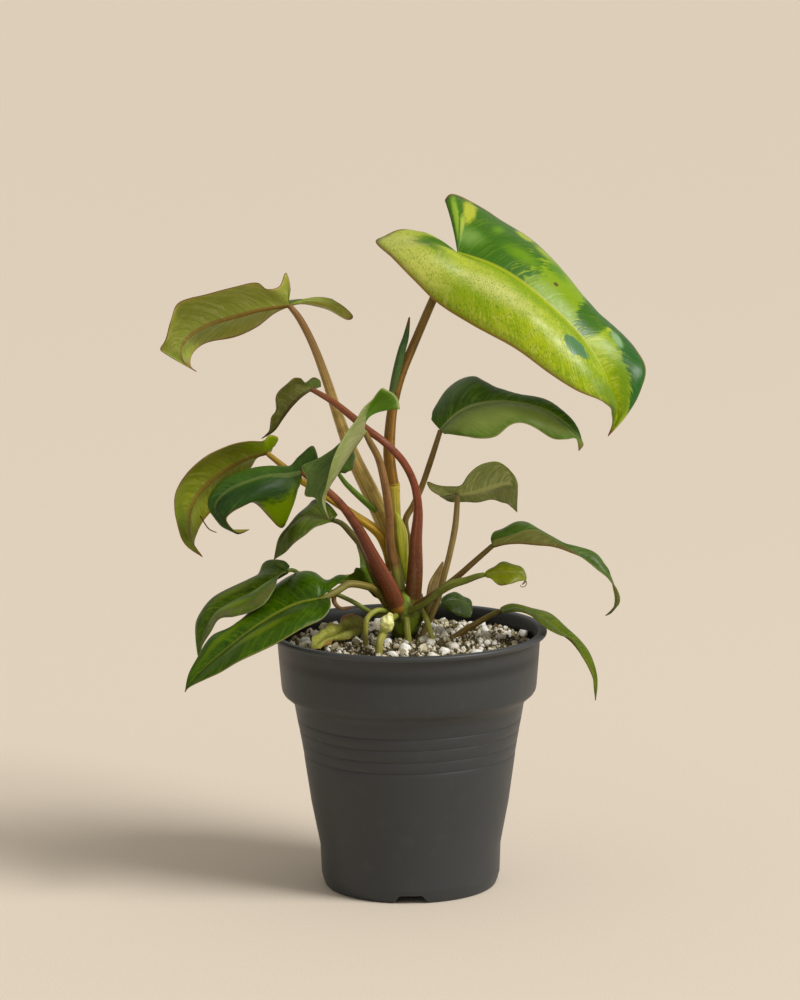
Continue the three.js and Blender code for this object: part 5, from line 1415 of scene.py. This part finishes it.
grow_leaf(
    "right_hanging", ("leaf_yellow_green", "stalk_brown"), 14, blade, stalk=stalk,
    upper=dict(
        colours=[(92, 112, 26), (78, 100, 22), (120, 136, 48), (72, 92, 28), (128, 140, 66), (124, 120, 64)],
        gloss=0.36, shine=0.14, depth=0.76),
    under=dict(
        colours=[(112, 122, 58), (100, 112, 50), (136, 144, 80), (86, 98, 42), (128, 120, 66),
                 (124, 120, 64)],
        gloss=0.48),
    bark=dict(
        colours=[(130, 104, 58), (124, 104, 52), (112, 104, 44), (92, 74, 42)]))


# Small leaf at the foot of the crown, on the right. It is dark green and pale at its tip, on a short green
# stalk that grows from the crown.
blade = {
    "midrib": [
        (14, 4, 123), (18, 6, 124), (22.5, 8, 123.5), (26, 9, 121), (27.5, 9, 117.5),
    ],
    "left": [
        (0, 14.5, 8, 124, 0), (0.1, 17.5, 11, 126, 1), (0.4, 22, 14, 125.5, 1), (0.65, 25, 15, 123.5, 0),
        (0.85, 28, 13, 121.5, 0),
    ],
    "right": [
        (0, 15.5, 1, 121.5, 0), (0.15, 19, -1, 120, 1), (0.45, 22.5, 1, 118, 1), (0.8, 26.5, 5, 116.5, 0),
    ],
}
stalk = [
    (5, -1, 123, 1.2), (10, 2, 122, 1.1), (14, 4, 122.5, 0.8),
]
grow_leaf(
    "base_right", ("leaf_dark", "stalk_green"), 8, blade, stalk=stalk, rib=0.6,
    upper=dict(
        colours=[(54, 80, 18), (44, 68, 12), (88, 112, 40), (40, 62, 14), (96, 116, 48), (96, 104, 52)],
        gloss=0.36, tip=(168, 174, 110)),
    under=dict(
        colours=[(92, 112, 46), (80, 100, 38), (116, 132, 64), (68, 88, 32), (110, 120, 60), (96, 104, 52)],
        gloss=0.48, tip=(168, 174, 110)),
    bark=dict(
        colours=[(104, 126, 44), (92, 118, 38), (80, 106, 32), (66, 88, 28)]))


# Withered leaf. It has fallen limp and crumpled on the mix, pale yellow-green with brown edges, and has no
# stalk.
blade = {
    "midrib": [
        (-20, 2, 113.5), (-25.5, -2, 113.5), (-30.5, -8, 113), (-35.5, -16, 112.5), (-40, -24, 111),
        (-42, -28, 109.5),
    ],
    "left": [
        (0, -19.5, 3, 110.5, 0), (0.1, -22, -2, 110, 1), (0.35, -29, -10, 110, 1), (0.6, -34.5, -20, 110, 1),
        (0.85, -39, -28, 109.5, 0),
    ],
    "right": [
        (0, -18.5, 6, 115, 0), (0.05, -22.5, 8, 118, 1), (0.25, -27, 5, 118, 2), (0.5, -32, -3, 115.5, 1),
        (0.7, -37.5, -12, 115.5, 1), (0.9, -41.5, -22, 111.5, 0),
    ],
}
look = dict(
    colours=[(190, 194, 110), (136, 140, 60), (206, 206, 132), (120, 122, 52), (172, 150, 90),
             (118, 78, 44)],
    gloss=0.6, depth=0.92, vein_share=0.5, soft=0.08, outer=(140, 136, 66), tip=(110, 80, 46),
    flecks=((96, 96, 38), 0.7, 0),
    patches=[
        (0.25, -0.85, 0.2, 0.3, (156, 112, 74), 0.5), (0.5, 0.1, 0.4, 0.25, (104, 116, 46), 0.6),
        (0.7, 0.8, 0.12, 0.3, (150, 120, 70), 0.5),
    ])
grow_leaf("withered", ("leaf_withered",), 9, blade, look, look, relief=0.35, ripple=0.6,
          rib=0.5, crumple=2.4, pucker=6)


# Torn sheath. The ragged green wrap of an old leaf stands at the left of the crown, with a flap torn
# sideways. It grows from the crown.
blade = {
    "midrib": [
        (-12, -1, 126), (-15, -2, 132.5), (-18, -3, 140.5), (-20.5, -2, 146), (-22, -1, 150),
    ],
    "left": [
        (0, -15, -4, 128, 0), (0.2, -18, -6, 131.5, 0), (0.3, -22.5, -9, 135.5, 0), (0.33, -27, -13, 137, 0),
        (0.36, -32, -16, 135.5, 0), (0.42, -30, -15, 139, 0), (0.5, -24, -11, 139.5, 0),
        (0.56, -22.5, -8, 141.5, 0), (0.64, -20.5, -5, 140.5, 0), (0.75, -20.5, -4, 144, 0),
        (0.88, -21.5, -3, 148, 0),
    ],
    "right": [
        (0, -9, 2, 126, 0), (0.3, -12.5, 3, 135, 0), (0.6, -17, 2, 142.5, 0), (0.85, -20.5, 1, 147.5, 0),
    ],
}
look = dict(
    colours=[(88, 118, 42), (74, 104, 32), (118, 140, 60), (66, 92, 28), (124, 136, 66), (132, 112, 62)],
    tip=(120, 92, 50))
torn = coated_blade("torn_sheath", 10, blade, look, look, ripple=0.3, rib=0.5)
new_piece("torn_sheath_wrap", torn, ["torn_sheath"])


# Loose dry bits. An old bract has dried to a twisted brown stub beside the lower left stalk, a brown thread
# hangs at the high left leaf, and the twisted leaf ends in a curled thread. They are thin runs that sit in
# place.
dry_skin = stalk_skin("dry_bits_skin", [(96, 70, 42), (122, 92, 56), (88, 62, 38), (70, 50, 32)], 0.7, 0.0)
for name, path in [
    ("bract_stub", [
        (-30.1, -19.5, 133.7, 0.9), (-31.8, -21, 131.2, 1.1), (-31.4, -22, 128.6, 1),
        (-28.8, -22, 126.4, 0.8), (-24.2, -21, 126.6, 0.4),
    ]),
    ("brown_thread", [
        (-88.8, -11, 165.2, 0.3), (-87.3, -12, 162.7, 0.28), (-85.1, -12.5, 159.7, 0.26),
        (-82, -12, 158.1, 0.2),
    ]),
    ("curled_thread", [
        (49.9, -28, 139, 0.24), (50.3, -28, 137.7, 0.2), (49.6, -28.5, 136.5, 0.17),
        (48.1, -28.5, 136.3, 0.15), (47.7, -28, 137, 0.12),
    ]),
]:
    new_piece(name, run_mesh(name, path, dry_skin, 12, 0.4, (True, True)))


# Stage. A wide flat floor of warm beige paper, matt and with a fine fibre, that runs on to the horizon
# behind the pot.
FLOOR_HALF = 14


def floor_paper():
    made, place = new_skin("floor_paper")
    colour = blend(between(cloud(place, 900, 3), 0.35, 0.65), (227, 215, 199), (232, 220, 204))
    return finish_skin(made, colour, 0.9, shine=0.2)


sheet = bpy.data.meshes.new("floor")
corners = [(-1, -1), (1, -1), (1, 1), (-1, 1)]
sheet.from_pydata([(x * FLOOR_HALF, y * FLOOR_HALF, 0) for x, y in corners], [], [(0, 1, 2, 3)])
sheet.materials.append(floor_paper())
loose_object("paper_sweep", sheet)


# Light. A broad soft light from the right, front and above, a square panel for soft reflections, and a pale
# warm surround that fills the shadows.
SUN_FROM, SUN_POWER, SUN_WIDTH, SUN_COLOUR = (0.8, -0.42, 0.8), 2.35, 26, (1, 0.975, 0.94)
PANEL_PLACE, PANEL_AIM, PANEL_SIDE = (1.3, -0.9, 1.3), (0, 0, 0.15), 0.9
PANEL_POWER, PANEL_COLOUR = 3.5, (1, 0.98, 0.95)
ROOM_COLOUR, ROOM_POWER = (240, 234, 224), 0.5

panel = bpy.data.lights.new("panel_light", "AREA")
panel.shape, panel.size, panel.size_y = "RECTANGLE", PANEL_SIDE, PANEL_SIDE
panel.energy, panel.color = PANEL_POWER, PANEL_COLOUR
stand = loose_object("panel_light", panel)
stand.location = PANEL_PLACE
stand.rotation_euler = (Vector(PANEL_AIM) - Vector(PANEL_PLACE)).to_track_quat("-Z", "Y").to_euler()

sun = bpy.data.lights.new("key_light", "SUN")
sun.energy, sun.angle, sun.color = SUN_POWER, math.radians(SUN_WIDTH), SUN_COLOUR
loose_object("key_light", sun).rotation_euler = Vector(SUN_FROM).to_track_quat("Z", "Y").to_euler()

scene = bpy.context.scene
scene.world = bpy.data.worlds.new("pale_room")
scene.world.use_nodes = True
surround = scene.world.node_tree.nodes["Background"].inputs
surround["Color"].default_value = screen_colour(*ROOM_COLOUR)
surround["Strength"].default_value = ROOM_POWER
scene.view_settings.view_transform = "Standard"
scene.view_settings.look = "None"


# Camera. It stands 1.7 m in front, a little above the rim, and looks slightly down through a long lens,
# turned by half a degree.
CAMERA_PLACE = (-0.0032, -1.7, 0.4582)
LENS_LENGTH, SENSOR_WIDTH = 144, 36
LOOKS_DOWN, TURNED = 9.64, -0.53

lens = bpy.data.cameras.new("front_camera")
lens.lens, lens.sensor_width, lens.sensor_fit = LENS_LENGTH, SENSOR_WIDTH, "AUTO"
lens.clip_start, lens.clip_end = 0.1, 20
pitch, roll = math.radians(LOOKS_DOWN), math.radians(TURNED)
ahead = Vector((0, math.cos(pitch), -math.sin(pitch)))
level = Vector((1, 0, 0))
upward = level.cross(ahead)
across = level * math.cos(roll) + upward * math.sin(roll)
upright = upward * math.cos(roll) - level * math.sin(roll)
camera = loose_object("front_camera", lens)
turned = Matrix((across, upright, -ahead)).transposed().to_4x4()
camera.matrix_world = Matrix.Translation(CAMERA_PLACE) @ turned
scene.camera = camera
